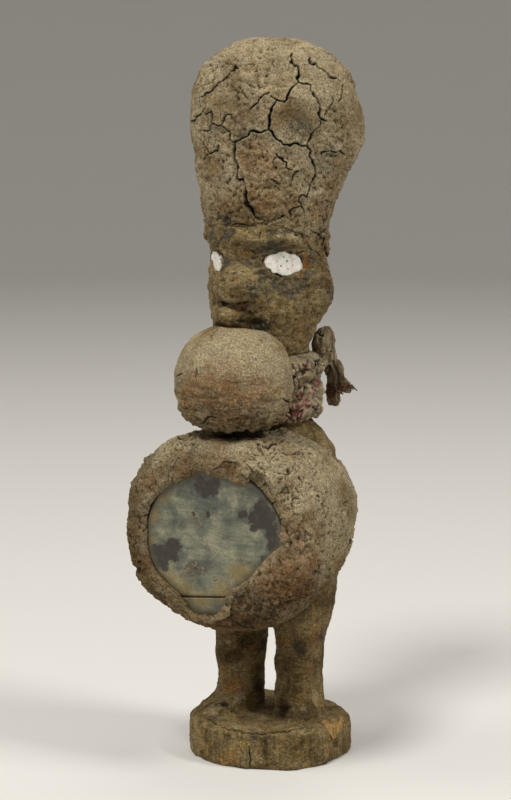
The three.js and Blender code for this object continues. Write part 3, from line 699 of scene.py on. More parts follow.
# Cracks read from the photograph: width, depth and the pixels along each
CAP_CRACKS = [
    (0.95, 1.5, [
        (292, 55), (290, 58), (292, 63), (296, 66), (298, 70), (299, 75), (297, 78), (299, 82),
        (305, 83), (311, 85), (311, 90), (315, 96), (319, 103), (321, 110), (320, 116), (322, 120),
        (319, 126), (316, 130), (312, 134), (310, 138), (308, 142), (307, 146),
    ]),
    (0.8, 1.2, [(320, 117), (324, 120), (328, 121)]),
    (0.7, 1.2, [
        (307, 146), (310, 150), (310, 157), (313, 161), (316, 165), (317, 170), (317, 175), (315, 179),
        (312, 184), (311, 189), (309, 194), (307, 198),
    ]),
    (0.6, 0.9, [
        (307, 198), (304, 196), (301, 196), (299, 199), (299, 202), (302, 205), (304, 208), (304, 215),
    ]),
    (0.75, 1.2, [
        (297, 84), (293, 88), (289, 91), (288, 96), (287, 100), (284, 102), (279, 101), (275, 99),
        (271, 96),
    ]),
    (0.5, 0.7, [(268, 93), (263, 95), (260, 97), (258, 103), (254, 106), (250, 110)]),
    (0.3, 0.4, [(288, 98), (292, 99)]),
    (0.8, 1.3, [
        (276, 101), (273, 106), (271, 111), (269, 116), (269, 121), (268, 129), (271, 132), (274, 136),
        (276, 139), (280, 141),
    ]),
    (0.6, 0.9, [(280, 141), (284, 144), (290, 146), (294, 144), (300, 144), (303, 147), (307, 146)]),
    (0.55, 0.9, [
        (268, 129), (265, 131), (260, 133), (255, 131), (251, 132), (247, 136), (243, 139), (240, 140),
        (235, 142), (232, 141), (229, 139), (229, 133), (226, 130), (223, 127),
    ]),
    (0.5, 0.7, [(222, 126), (223, 122), (224, 117), (227, 114), (231, 114), (233, 117)]),
    (0.5, 0.8, [
        (222, 126), (218, 126), (213, 123), (211, 126), (210, 130), (207, 132), (203, 130), (202, 127),
    ]),
    (0.5, 0.8, [(211, 123), (212, 117), (211, 111), (208, 113), (207, 115)]),
    (0.5, 0.8, [(203, 111), (201, 115), (198, 117), (196, 120), (192, 122), (190, 125)]),
    (0.9, 1.4, [
        (234, 141), (234, 150), (233, 155), (234, 160), (236, 165), (237, 170), (237, 177), (237, 180),
        (239, 181), (243, 179), (244, 183), (245, 187), (245, 193), (245, 199), (246, 203), (250, 207),
        (252, 213), (254, 217), (258, 219), (262, 221), (267, 223), (272, 222), (277, 219), (285, 216),
    ]),
    (0.5, 0.7, [
        (239, 69), (236, 66), (234, 68), (230, 75), (226, 79), (221, 83), (215, 88), (210, 93),
        (206, 94), (202, 97),
    ]),
    (0.35, 0.4, [(246, 67), (251, 64), (254, 66)]),
    (0.35, 0.4, [(206, 94), (205, 100), (205, 107), (204, 112)]),
    (0.75, 1.1, [
        (310, 57), (309, 61), (311, 64), (315, 64), (318, 68), (322, 70), (326, 72), (330, 77),
        (335, 78), (340, 81),
    ]),
    (0.5, 0.8, [(343, 84), (343, 90), (342, 95), (341, 99), (338, 101)]),
    (0.6, 0.8, [(332, 97), (333, 100), (331, 105), (328, 110), (326, 116)]),
    (0.55, 0.7, [(330, 142), (331, 148), (332, 151), (328, 151), (324, 153), (323, 156)]),
    (0.55, 0.7, [(332, 152), (337, 153), (341, 151), (345, 154), (348, 156)]),
    (0.3, 0.4, [(200, 138), (203, 143), (205, 150), (206, 156)]),
    (0.5, 0.7, [(219, 145), (217, 151), (210, 153), (206, 156), (204, 160)]),
    (0.6, 0.7, [(276, 154), (280, 158), (284, 161), (286, 164), (286, 168), (289, 169), (292, 170)]),
    (0.9, 0.9, [(293, 171), (296, 171), (299, 171)]),
    (0.5, 0.6, [(297, 171), (294, 176), (291, 181)]),
    (0.5, 0.5, [(272, 180), (276, 182), (279, 184)]),
    (0.55, 0.6, [(214, 218), (216, 214), (218, 212)]),
    (0.7, 0.5, [(229, 213), (233, 213)]),
    (0.5, 0.6, [(311, 230), (316, 233), (320, 235), (323, 239), (325, 241)]),
    (0.4, 0.5, [(291, 216), (291, 211), (294, 208), (300, 207)]),
]
CAP_EDGE = [
    (207, 236), (208, 231), (211, 228), (216, 226), (222, 226), (228, 226), (234, 226), (240, 225),
    (245, 226), (248, 227), (252, 229), (258, 229), (262, 230), (265, 226), (268, 223),
]
# Patches: pixel, radius in pixels and strength
CAP_RED = [
    (258, 160, 26, 0.42), (255, 180, 22, 0.35), (262, 208, 20, 0.42), (250, 112, 14, 0.3),
    (340, 160, 12, 0.35), (320, 208, 18, 0.35), (212, 170, 16, 0.25), (225, 205, 16, 0.25),
    (335, 180, 12, 0.4), (290, 205, 14, 0.35),
]
CAP_SOOT = [
    (296, 128, 17, 0.55), (303, 135, 10, 0.6), (240, 133, 14, 0.35), (228, 222, 9, 0.85),
    (218, 224, 8, 0.7), (215, 232, 9, 0.6), (225, 110, 12, 0.3), (265, 232, 12, 0.6),
    (285, 240, 16, 0.5), (250, 232, 12, 0.6), (283, 150, 12, 0.4), (318, 140, 10, 0.3),
    (265, 95, 14, 0.3), (300, 160, 9, 0.35), (240, 112, 14, 0.35), (300, 234, 12, 0.75),
    (316, 238, 9, 0.7), (282, 228, 9, 0.5), (255, 120, 10, 0.3),
]
CAP_SHADE = [(240, 113, 17, 0.4), (215, 125, 12, 0.3), (275, 70, 22, 0.2)]
CAP_DUST = [
    (280, 70, 30, 0.2), (325, 85, 20, 0.4), (232, 60, 26, 0.3), (205, 75, 14, 0.4), (222, 190, 18, 0.3),
    (347, 98, 15, 0.75), (330, 60, 10, 0.4), (318, 190, 10, 0.3), (300, 175, 8, 0.35),
]


def build_cap(material):
    s = Surface("head_cap")
    shape_cap(s)
    tree = s.tree()
    cracks = laid(tree, CAP_CRACKS, 11) + laid(tree, [(0.7, 0.9, CAP_EDGE)], 90)
    s.refine(near_lines(s.points, cracks, 1.1) & ~inner_cap(s))
    p, n = s.points, s.normals
    inside = inner_cap(s)
    behind = smoothstep(0.22, -0.1, seen_from_camera(p, n))
    broad = 0.55 * layered(p, 15, 2, 1) + 0.3 * layered(p, 5, 2, 2)
    rough = smoothstep(-0.3, 0.5, layered(p, 18, 2, 8) + 0.5 * smoothstep(215, 195, p[:, 2]))
    height = cap_relief(p, rough)
    broad -= 0.5 * np.clip(layered(warped(p, 5, 1.5, 64), 6.0, 3, 65) - 0.25, 0, 1)
    cut, dark, stand = crack_all(p, cracks, 40)
    # Cracks of the same kind where the photograph doesn't reach
    patchy = smoothstep(-0.15, 0.25, layered(p, 22, 2, 77))
    wide = hairlines(p, 17, 0.55, 71, 2.6) * patchy * behind
    cut = np.maximum(cut, wide**0.7)
    dark = np.maximum(dark, wide)
    cut, dark = crazed(p, 7.0, 13, 81, cut, dark)
    mark_cap(s, tree, behind)
    s.marks["relief"] = np.where(inside, 0, s.hollows(height - cut))
    s.marks["crack"] = np.clip(1.25 * dark, 0, 1)
    s.push(np.where(inside, 0, height + broad + stand - cut))
    return s.done("packing", material)


def cap_relief(p, rough):
    """Crumbs, flakes and pits, deeper where the surface is rough."""
    height = (0.14 + 0.1 * rough) * layered(p, 1.5, 2, 3) + (0.1 + 0.32 * rough) * crumbly(p, 2.9, 411)
    height += 0.14 * crumbly(p, 1.5, 431) + (0.14 + 0.26 * rough) * flakes(p, 5.0, 451)
    height -= (0.6 + 0.6 * rough) * pores(p, 2.3, 0.55, 0.42, 0.4, 21)
    height -= 0.42 * rough * np.abs(layered(warped(p, 3, 0.8, 61), 2.4, 2, 62)) - 0.1 * rough
    return height


def mark_cap(s, tree, behind):
    """Red, soot, dust and shade, with more red where the photograph doesn't reach."""
    p = s.points
    paint_spots(s, tree, "red", CAP_RED, 2.6, 6)
    paint_spots(s, tree, "soot_and_shade", CAP_SOOT, 2.0, 7)
    paint_spots(s, tree, "dust", CAP_DUST, 2.6, 8)
    back = behind * smoothstep(0.0, 0.6, layered(p, 20, 2, 87))
    s.marks["red"] = np.maximum(s.marks["red"], 0.4 * back)
    low = smoothstep(CAP_FOOT + 10, CAP_FOOT + 2, p[:, 2])
    s.marks["shade"] = 0.03 + 0.22 * smoothstep(0.0, 0.6, layered(p, 9, 3, 88)) + 0.3 * low
    paint_spots(s, tree, "shade", CAP_SHADE, 2.6, 92)
    s.marks["streak"] = 0.15 + 0.3 * smoothstep(0.0, 0.5, layered(p, 10, 2, 89))


def shape_cap(s):
    """Lowers the edge in front, rounds the top off and tucks the edge in on the figure's left."""
    p = s.points
    front_right = smoothstep(18, -6, p[:, 0]) * smoothstep(-10, -18, p[:, 1])
    p[:, 2] -= 1.9 * smoothstep(CAP_FOOT + 14, CAP_FOOT, p[:, 2]) * front_right
    top = smoothstep(0.3, 1.0, s.normals[:, 2]) * smoothstep(200, CAP_TOP, p[:, 2])
    p[:, 2] += top * (0.9 + 0.5 * noise(p, 13, 4))
    tuck = smoothstep(CAP_FOOT + 8, CAP_FOOT, p[:, 2]) * smoothstep(4, 14, p[:, 0]) * ~inner_cap(s)
    p -= s.normals * (0.5 * tuck)[:, None]
    s.write()


def inner_cap(s):
    """The cap's inside and edge, which rest on the head."""
    axis = BODY_AXIS + np.array([0, 1.0, 0])
    out = s.points - axis
    out[:, 2] = 0.6 * (s.points[:, 2] - 205)
    return (s.normals * out).sum(axis=1) < 0


# The ball of packing under the chin

# Patches: pixel, radius in pixels and strength
BALL_RED = [
    (225, 392, 34, 0.6), (200, 385, 20, 0.5), (258, 395, 22, 0.5), (190, 400, 14, 0.4),
    (212, 372, 16, 0.3),
]
BALL_SOOT = [
    (225, 410, 26, 0.35), (205, 405, 18, 0.3), (240, 425, 34, 0.4), (232, 385, 14, 0.25),
    (262, 340, 5, 0.4), (195, 420, 12, 0.3),
]
BALL_DUST = [
    (235, 345, 36, 0.6), (275, 365, 22, 0.65), (190, 360, 16, 0.55), (284, 400, 10, 0.45),
    (250, 360, 24, 0.3),
]
BALL_CRACKS = [
    (0.5, 0.6, [(176, 377), (180, 374), (182, 374)]),
    (0.45, 0.5, [(197, 369), (197, 373), (196, 376)]),
    (0.25, 0.25, [(211, 338), (213, 334), (217, 330)]),
    (0.7, 0.8, [(203, 421), (207, 418), (212, 416), (216, 418)]),
    (0.5, 0.6, [(283, 398), (288, 402), (292, 404)]),
    (0.4, 0.4, [(262, 338), (266, 339)]),
    (0.5, 0.6, [(268, 425), (274, 421), (281, 420)]),
]


def build_ball(material):
    s = Surface("chin_ball")
    tree = s.tree()
    cracks = laid(tree, BALL_CRACKS, 120)
    s.refine(near_lines(s.points, cracks, 0.9))
    p = s.points
    rise = p[:, 2] - BALL_MIDDLE[2]
    low = smoothstep(6, -10, rise)
    underside = smoothstep(-12.8, -14.4, rise)
    broad = 0.35 * layered(p, 12, 2, 101) + 0.15 * layered(p, 4, 2, 102)
    brushed = layered(warped(p, 6, 1.0, 108) * np.array([0.3, 0.3, 1.0]), 1.4, 2, 103)
    fine = 0.1 * layered(p, 1.3, 2, 104) + (0.08 + 0.3 * low) * brushed
    fine -= pores(p, 2.3, 0.42, 0.32, 0.35, 105)
    edge = bell((rise + 13.4) / 2.0)
    fine += 0.95 * edge * layered(p, 2.0, 2, 106) + 0.5 * underside * layered(p, 2.5, 2, 107)
    fine += (0.05 + 0.3 * low) * crumbly(p, 2.1, 109) + 0.26 * low * flakes(p, 4.0, 112)
    cut, dark, stand = crack_all(p, cracks, 130)
    s.marks["shade"] = 0.1 + 0.12 * smoothstep(6, -6, rise) + 0.35 * smoothstep(-6, -14, rise)
    paint_spots(s, tree, "red", BALL_RED, 2.8, 141)
    paint_spots(s, tree, "soot_and_shade", BALL_SOOT, 2.8, 142)
    paint_spots(s, tree, "dust", BALL_DUST, 2.8, 143)
    s.marks["streak"] = 0.2 + 0.7 * low
    s.marks["relief"] = s.hollows(fine)
    s.marks["crack"] = dark
    s.push(broad + fine + stand - cut)
    return s.done("packing", material)


# The drum of packing on the belly

# The edge of the packing over the glass, read from the photograph
GLASS_EDGE = [
    (147, 530), (147, 515), (150, 505), (158, 495), (167, 487), (176, 482), (188, 477), (197, 472),
    (204, 471), (211, 475), (221, 478), (230, 480), (238, 483), (246, 484), (251, 479), (254, 471),
    (259, 471), (265, 479), (272, 489), (277, 500), (280, 512), (281, 530), (280, 547), (273, 552),
    (267, 558), (262, 564), (255, 571), (248, 579), (241, 585), (234, 590), (230, 597), (228, 606),
    (222, 612), (212, 616), (200, 617), (191, 611), (186, 603), (177, 592), (165, 581), (155, 570),
    (149, 557), (147, 543),
]
DRUM_CRACKS = [
    (0.6, 0.9, [(191, 426), (192, 431), (190, 436)]),
    (0.6, 0.8, [(180, 434), (178, 438), (181, 441)]),
    (0.7, 1.0, [(262, 447), (268, 447), (272, 444), (278, 442), (284, 440)]),
    (0.5, 0.6, [(281, 454), (288, 455), (294, 456), (300, 454), (303, 454)]),
    (0.4, 0.5, [(293, 455), (296, 453), (300, 451)]),
    (0.35, 0.4, [(264, 478), (270, 485), (275, 495), (279, 510), (281, 525), (281, 535)]),
    (0.6, 0.8, [(348, 545), (350, 540), (353, 538), (355, 534)]),
    (0.5, 0.7, [(331, 450), (334, 456), (339, 461), (345, 466)]),
    (0.5, 0.5, [(292, 562), (296, 563), (299, 561)]),
    (0.5, 0.5, [(320, 570), (319, 565), (322, 561)]),
    (0.5, 0.5, [(316, 494), (318, 497)]),
    (0.4, 0.25, [(211, 470), (218, 468), (225, 462), (233, 463), (240, 465)]),
    (0.4, 0.3, [(246, 464), (250, 468), (252, 474)]),
    (0.6, 0.9, [(208, 430), (222, 431), (240, 432), (262, 430)]),
]
# Lumps: pixel, radius and height
DRUM_LUMPS = [
    (234, 590, 2.3, 1.5), (243, 584, 2.0, 1.2), (227, 600, 1.8, 1.0), (284, 431, 2.6, 1.6),
    (252, 578, 1.8, 0.8), (215, 442, 3.0, 0.7), (240, 443, 3.0, 0.8), (256, 443, 2.5, 0.7),
    (238, 470, 4.0, 0.8), (196, 440, 2.5, 0.7), (212, 466, 2.5, 0.5), (183, 604, 2.2, 0.6),
    (196, 619, 2.4, 0.6), (160, 602, 6.0, -2.0),
]
# Patches: pixel, radius in pixels and strength
DRUM_SHADE = [
    (226, 470, 14, 0.5), (243, 476, 9, 0.5), (208, 464, 9, 0.4), (190, 466, 10, 0.35),
    (225, 436, 14, 0.55), (250, 436, 14, 0.5), (278, 590, 14, 0.6), (296, 575, 10, 0.5),
    (320, 530, 12, 0.35), (160, 470, 8, 0.35),
]
DRUM_RED = [
    (290, 585, 36, 0.65), (305, 560, 28, 0.5), (300, 535, 22, 0.35), (240, 612, 34, 0.55),
    (165, 610, 24, 0.5), (140, 560, 16, 0.4), (340, 565, 16, 0.35), (215, 462, 18, 0.35),
    (232, 472, 14, 0.5), (190, 468, 14, 0.4), (150, 480, 14, 0.3), (135, 530, 14, 0.3),
    (200, 620, 20, 0.4),
]
# Soot, and painted shadow under the ball and on the drum's lower part
DRUM_SOOT_AND_SHADE = [
    (250, 612, 38, 0.5), (330, 590, 22, 0.4), (138, 585, 20, 0.4), (185, 622, 20, 0.45),
    (163, 468, 6, 0.45), (345, 540, 12, 0.3), (200, 628, 22, 0.5), (280, 432, 8, 0.6),
    (232, 436, 22, 0.55), (255, 436, 12, 0.5), (292, 605, 18, 0.4), (142, 600, 14, 0.4),
]
DRUM_DUST = [
    (315, 480, 36, 0.65), (275, 455, 22, 0.55), (330, 510, 20, 0.5), (200, 448, 26, 0.4),
    (160, 455, 18, 0.3), (236, 589, 8, 0.8), (132, 510, 8, 0.3), (250, 446, 14, 0.5),
]


def glass_polar(points):
    """Turn and distance from the middle of the glass, seen from in front."""
    across = points[:, 0] - GLASS_MIDDLE[0]
    up = points[:, 2] - GLASS_MIDDLE[2]
    return np.arctan2(up, across), np.hypot(across, up)


def rim_of_solid(turn):
    """How far the CAD rim's opening reaches at a turn."""
    degrees = np.degrees(turn)
    tongues = 0.0
    for middle, spread, reach in ((322, 20, 0.22), (70, 13, 0.1)):
        tongues = tongues + reach * bell(((degrees - middle + 540) % 360 - 180) / spread)
    return RIM_RADIUS * (1 - tongues)


def rim_in_photo(turn):
    """How far the opening reaches in the photograph, from the pixels of its edge."""
    start = camera_place()
    plane = GLASS_FACE - 0.8
    found = []
    for x, y in GLASS_EDGE:
        ray = pixel_ray(x, y)
        found.append(start + ray * (plane - start[1]) / ray[1])
    return all_round(*glass_polar(np.array(found)), turn)


def build_drum(material):
    s = Surface("belly_drum", hold=drum_recess)
    tree = s.tree()
    fit_rim(s)
    cracks = laid(tree, DRUM_CRACKS, 211)
    s.refine(near_lines(s.points, cracks, 1.0))
    p, n = s.points, s.normals
    turn, reach = glass_polar(p)
    still = np.maximum(drum_recess(p), drum_channel(p, n))
    left = smoothstep(-5, 25, p[:, 0])
    broad = 0.6 * layered(p, 15, 2, 201) + 0.45 * layered(p, 5.5, 2, 202)
    rough = smoothstep(-0.5, 0.4, layered(p, 16, 2, 203) + 0.4 * left)
    low = smoothstep(80, 56, p[:, 2])
    fine = drum_relief(p, rough, low)
    crust = front_band(p, reach, turn)
    beyond = reach - rim_in_photo(turn)
    before_glass = p[:, 1] < -34
    upper_lip = bell((np.degrees(turn) - 108) / 38) * smoothstep(9, 5, beyond) * before_glass
    fine *= 1 - 0.55 * upper_lip
    broad += 0.9 * crust * layered(p, 3.2, 2, 209) + 0.7 * upper_lip * crust
    lower_lip = bell((np.degrees(turn) + 62) / 45) * bell((beyond - 1.1) / 1.1) * before_glass
    broad += lower_lip * (0.5 + 0.9 * np.abs(layered(p, 2.6, 2, 210)))
    for x, y, radius, height in DRUM_LUMPS:
        broad += dent(p, spot(tree, x, y), radius, height)
    cut, dark, stand = crack_all(p, cracks, 240)
    cut, dark = crazed(p, 7.5, 12, 281, cut, dark)
    mark_drum(s, tree, low, upper_lip, lower_lip)
    s.marks["relief"] = s.hollows(fine - cut) * (1 - still)
    s.marks["crack"] = np.clip(1.2 * dark, 0, 1)
    s.push((broad + fine + stand) * (1 - still) - cut)
    hang_lip(s, n)
    return s.done("packing", material)


def drum_relief(p, rough, low):
    """Crumbs, flakes, brushed bands and pits, deeper where the surface is rough."""
    fine = (0.14 + 0.1 * rough) * layered(p, 1.6, 2, 204)
    fine += (0.14 + 0.3 * rough) * (1 - 0.75 * low) * crumbly(p, 3.0, 421) + 0.14 * crumbly(p, 1.5, 441)
    fine += (0.12 + 0.26 * rough) * flakes(p, 5.0, 461)
    bands = layered(warped(p, 9, 2.5, 462) * np.array([0.3, 0.3, 1.0]), 2.0, 3, 463)
    fine += 0.34 * low * bands
    fine -= (0.5 + 0.8 * rough) * pores(p, 2.1, 0.6, 0.5, 0.5, 205)
    fine -= 0.55 * rough * pores(p, 4.6, 1.1, 0.6, 0.35, 206)
    fine -= 0.45 * rough * np.abs(layered(warped(p, 3, 0.9, 207), 2.6, 2, 208)) - 0.1 * rough
    return fine


def mark_drum(s, tree, low, upper_lip, lower_lip):
    """Red, dust, soot with painted shadow under the ball and low down, and the shade mark: painted shade
    low down and under the ball, darker too on the rim's left and the lip over the glass.
    """
    p = s.points
    paint_spots(s, tree, "red", DRUM_RED, 3.0, 291)
    paint_spots(s, tree, "soot_and_shade", DRUM_SOOT_AND_SHADE, 2.6, 292)
    paint_spots(s, tree, "dust", DRUM_DUST, 3.0, 293)
    rim_left = smoothstep(-22, -33, p[:, 0])
    s.marks["shade"] = np.clip(0.05 + 0.66 * low + 0.62 * rim_left + 0.2 * layered(p, 8, 3, 294), 0, 0.85)
    s.marks["shade"] = np.maximum(s.marks["shade"], 0.5 * upper_lip)
    paint_spots(s, tree, "shade", DRUM_SHADE, 2.0, 295)
    s.marks["dust"] = np.maximum(s.marks["dust"], 0.8 * lower_lip)
    s.marks["shade"] *= 1 - 0.6 * lower_lip
    s.marks["streak"] = 0.15 + 0.6 * low + 0.3 * upper_lip


def fit_rim(s):
    """Draws the CAD rim's opening in or out to the edge in the photograph."""
    turn, reach = glass_polar(s.points)
    solid = rim_of_solid(turn)
    front = smoothstep(-34.6, -35.3, s.points[:, 1])
    inward = front * smoothstep(solid + 9, solid + 0.4, reach) * (rim_in_photo(turn) - solid)
    s.points[:, 0] += inward * np.cos(turn)
    s.points[:, 2] += inward * np.sin(turn)
    s.write()


def hang_lip(s, normals):
    """Keeps the lip that hangs over the glass in front of its face."""
    p = s.points
    turn, reach = glass_polar(p)
    over = reach - rim_in_photo(turn)
    face = GLASS_FACE - 0.25 - 1.5 * (1 - np.exp(-np.maximum(over, 0) / 0.9))
    hanging = (p[:, 1] < -34.3) & (reach < GLASS_RADIUS + 1.0) & (normals[:, 1] < 0.25)
    p[:, 1] = np.where(hanging, np.minimum(p[:, 1], face), p[:, 1])


def drum_recess(p):
    """1 where the drum holds the glass from behind."""
    reach = glass_polar(p)[1]
    return np.where((reach < RECESS_REACH) & (p[:, 1] > RECESS_FRONT) & (p[:, 1] < RECESS_BACK), 1.0, 0.0)


def drum_channel(p, n):
    """1 on the inside, which rests on the trunk."""
    out = p - BODY_AXIS - np.array([0, 3.0, 0])
    inward = n[:, 0] * out[:, 0] + n[:, 1] * out[:, 1] < -0.2 * np.hypot(out[:, 0], out[:, 1])
    return np.where(inward & (p[:, 1] > -25), 1.0, 0.0)


def front_band(p, reach, turn):
    """1 on the band of crust round the glass."""
    return bell((reach - rim_in_photo(turn) - 2.0) / 2.6) * smoothstep(-33, -36, p[:, 1])


# Glass

GLASS_GREY = (0.07, 0.082, 0.07)
GLASS_GREEN = (0.125, 0.131, 0.093)
GLASS_PALE = (0.25, 0.243, 0.168)
GLASS_YELLOW = (0.225, 0.16, 0.048)
GLASS_LOST = (0.016, 0.015, 0.011)
GLASS_LOST_BROWN = (0.034, 0.021, 0.014)
GLASS_LOST_GREY = (0.04, 0.041, 0.033)
GLASS_HALF = (0.065, 0.065, 0.05)
GLASS_SHADOW_AND_GRIME = (0.075, 0.06, 0.03)
GLASS_RUST = (0.045, 0.03, 0.018)
GLASS_BRUSHED = [(0.35, (0.68, 0.72, 0.73)), (0.62, (1.15, 1.13, 1.08))]
GLASS_FINE = [(0.32, (0.55, 0.54, 0.5)), (0.5, WHITE), (0.64, (1.22, 1.22, 1.18))]
GLASS_CRUST = [(0.42, (0.035, 0.026, 0.014)), (0.6, (0.26, 0.2, 0.11))]
# Patches: pixel and radius in pixels
LOST = [
    (200, 484, 8), (208, 488, 9), (215, 483, 7), (205, 494, 5), (213, 491, 5), (158, 552, 8),
    (168, 551, 9), (174, 545, 7), (156, 562, 7), (164, 562, 7), (172, 557, 6), (262, 513, 11),
    (268, 521, 10), (258, 523, 7), (263, 506, 8), (245, 514, 5), (271, 531, 7), (273, 539, 8),
    (274, 546, 7), (264, 559, 4), (254, 528, 4), (252, 517, 7), (241, 515, 4), (208, 514, 3),
    (193, 514, 2),
]
HALF_LOST = [(268, 497, 11), (262, 492, 8), (275, 507, 7), (197, 567, 6), (190, 566, 4), (204, 568, 4)]
YELLOW = [
    (182, 591, 20), (222, 591, 15), (168, 580, 17), (241, 575, 17), (152, 515, 12), (162, 495, 11),
    (258, 476, 11), (200, 599, 14), (150, 540, 9), (222, 599, 8),
]
PALE = [
    (228, 558, 26), (215, 530, 16), (240, 535, 16), (165, 515, 10), (250, 555, 14), (214, 578, 17),
    (200, 552, 12), (175, 535, 12), (235, 500, 10),
]
RUST = [
    (188, 568, 6), (195, 565, 7), (203, 570, 6), (192, 573, 5), (205, 514, 3), (192, 515, 3),
    (196, 520, 4), (171, 562, 2.5), (187, 588, 2.5), (215, 579, 3), (242, 558, 2.5), (212, 513, 3),
    (200, 523, 3),
]


def glass_material():
    """Old backed glass: milky grey-green, yellowed edges, patches where the backing is lost, grime below
    the crack, and painted shadow along the packing's edge and on its covered edge.
    """
    p = Paint("old_glass", 0.32, 0.4)
    p.shader.inputs["Coat Weight"].default_value = 0.2
    p.shader.inputs["Coat Roughness"].default_value = 0.15
    clouds = p.noise(9, 5, 0.62, distortion=0.5)
    colour = p.ramp(clouds, [(0.36, GLASS_GREY), (0.5, GLASS_GREEN), (0.62, GLASS_PALE)])
    colour = p.over(colour, GLASS_PALE, p.mark("pale"), 0.8)
    brushed = p.noise(1.6, 3, 0.6, stretch=(0.25, 1, 1.0), distortion=0.3)
    colour = p.tinted(colour, brushed, GLASS_BRUSHED, 0.9)
    yellow = p.between(p.strewn("yellow", (4, 1.4)), -0.15, 0.75)
    colour = p.over(colour, GLASS_YELLOW, yellow, 0.8)
    fine = p.noise(0.6, 4, 0.7)
    colour = p.tinted(colour, fine, GLASS_FINE, 0.8)
    ragged = p.math("ADD", p.wander(3.0, 2.4), p.wander(0.9, 1.1))
    lost = p.between(p.math("ADD", p.mark("lost"), ragged), 0.0, 0.12)
    backing = [(0.35, GLASS_LOST), (0.55, GLASS_LOST_BROWN), (0.7, GLASS_LOST_GREY)]
    brown = p.ramp(p.noise(2.6, 4, 0.65), backing)
    half = p.between(p.math("ADD", p.mark("half_lost"), ragged), -0.1, 0.35)
    halo = p.between(p.math("ADD", p.mark("lost"), ragged), -0.5, 0.1)
    colour = p.over(colour, GLASS_HALF, p.math("MAXIMUM", half, halo), 0.6)
    colour = p.over(colour, brown, lost, 0.93)
    crust = p.between(p.strewn("crust", (0.8, 3.2), (3, 0.8)), 0.25, 0.5)
    colour = p.mix(colour, p.ramp(fine, GLASS_CRUST), crust)
    rust = p.math("MULTIPLY", p.specks(1.3, 0.22), p.between(p.noise(5, 2), 0.42, 0.62))
    colour = p.mix(colour, GLASS_RUST, rust)
    # Painted shadow of the packing along the edge of the opening, and grime below the crack
    colour = p.over(colour, GLASS_SHADOW_AND_GRIME, p.between(p.strewn("shadow_and_grime", (2.5, 1.0)), 0.1, 1.0), 0.75)
    # Painted shade on the glass's edge, under the packing
    colour = p.mix(colour, DEEP_SHADE, p.mark("rim"))
    return p.finish(colour, [(p.noise(3, 2), 0.04), (fine, 0.02), (crust, 0.06)])


def spot_field(s, tree, spots):
    """A field that is over 0 within the spots, given as (x, y, radius in pixels), and falls outwards."""
    field = np.full(len(s.points), -2.0)
    for x, y, radius in spots:
        middle = spot(tree, x, y)
        if middle is not None:
            away = np.linalg.norm(s.points - middle, axis=1)
            field = np.maximum(field, 1 - away / (radius / PIXELS_A_MM))
    return field


def build_glass(node, material):
    s = Surface(node)
    tree = glass_plane()
    s.marks["lost"] = spot_field(s, tree, LOST)
    s.marks["half_lost"] = spot_field(s, tree, HALF_LOST)
    s.marks["yellow"] = spot_field(s, tree, YELLOW)
    s.marks["pale"] = np.clip(spot_field(s, tree, PALE), 0, 1)
    s.marks["crust"] = spot_field(s, tree, RUST)
    # The crack runs level in the photograph, so it climbs a little to the figure's left
    beside_crack = np.exp(-np.abs(s.points[:, 2] - CRACK_HEIGHT) / 4)
    s.points[:, 2] += beside_crack * (0.105 * (s.points[:, 0] - GLASS_MIDDLE[0] + 4) - 0.6)
    if node == "glass_shard":
        s.points[:, 2] += 0.3 * np.exp((s.points[:, 2] - s.points[:, 2].max()) / 1.5)
    turn, reach = glass_polar(s.points)
    below_crack = s.points[:, 2] < CRACK_HEIGHT
    # Painted shadow near the edge of the opening, and grime below the crack
    s.marks["shadow_and_grime"] = smoothstep(-3.6, 0.2, reach - rim_in_photo(turn)) + 0.5 * below_crack
    # Painted shade on the glass's edge, where the packing covers it
    s.marks["rim"] = 0.8 * smoothstep(GLASS_RADIUS - 1.2, GLASS_RADIUS - 0.2, reach)
    flat = s.points * np.array([1, 0, 1])
    s.points[:, 1] += 0.05 * layered(flat, 9, 2, 301)
    return s.done("belly_glass", material)


def glass_plane():
    """The whole plane of the glass's front, to lay pixels on."""
    x, y, z = GLASS_MIDDLE
    half = 40
    corners = [Vector((x + i * half, y, z + k * half)) for i, k in ((-1, -1), (1, -1), (1, 1), (-1, 1))]
    return BVHTree.FromPolygons(corners, [(0, 1, 2, 3)])


# Eyes

INLAY = (0.80, 0.78, 0.71)
INLAY_PALE = (0.88, 0.87, 0.83)
INLAY_YELLOWED = (0.60, 0.57, 0.47)
INLAY_FINE = (0.62, 0.6, 0.55)
INLAY_SPECKS = (0.10, 0.09, 0.07)
INLAY_EDGE = (0.24, 0.19, 0.11)
EYE_FOLLOWS = 0.6  # how far an inlay moves to where its outline was drawn
EYE_SPECKS = [
    (287, 261, 1.7), (281, 266, 1.5), (288, 269, 1.2), (284, 257, 1.4), (293, 265, 1.0), (277, 262, 1.0),
    (215, 258, 2.0), (219, 264, 1.2),
]
LEFT_EYE = [
    (264, 262), (266, 257), (271, 254), (276, 253), (279, 251), (284, 250), (287, 252), (290, 254),
    (295, 254), (299, 257), (302, 263), (303, 269), (298, 272), (293, 274), (286, 276), (281, 275),
    (277, 273), (273, 273), (270, 269), (266, 268),
]
RIGHT_EYE = [
    (211, 259), (213, 254), (217, 252), (221, 254), (223, 260), (224, 266), (222, 271), (218, 271),
    (214, 267), (213, 262),
]


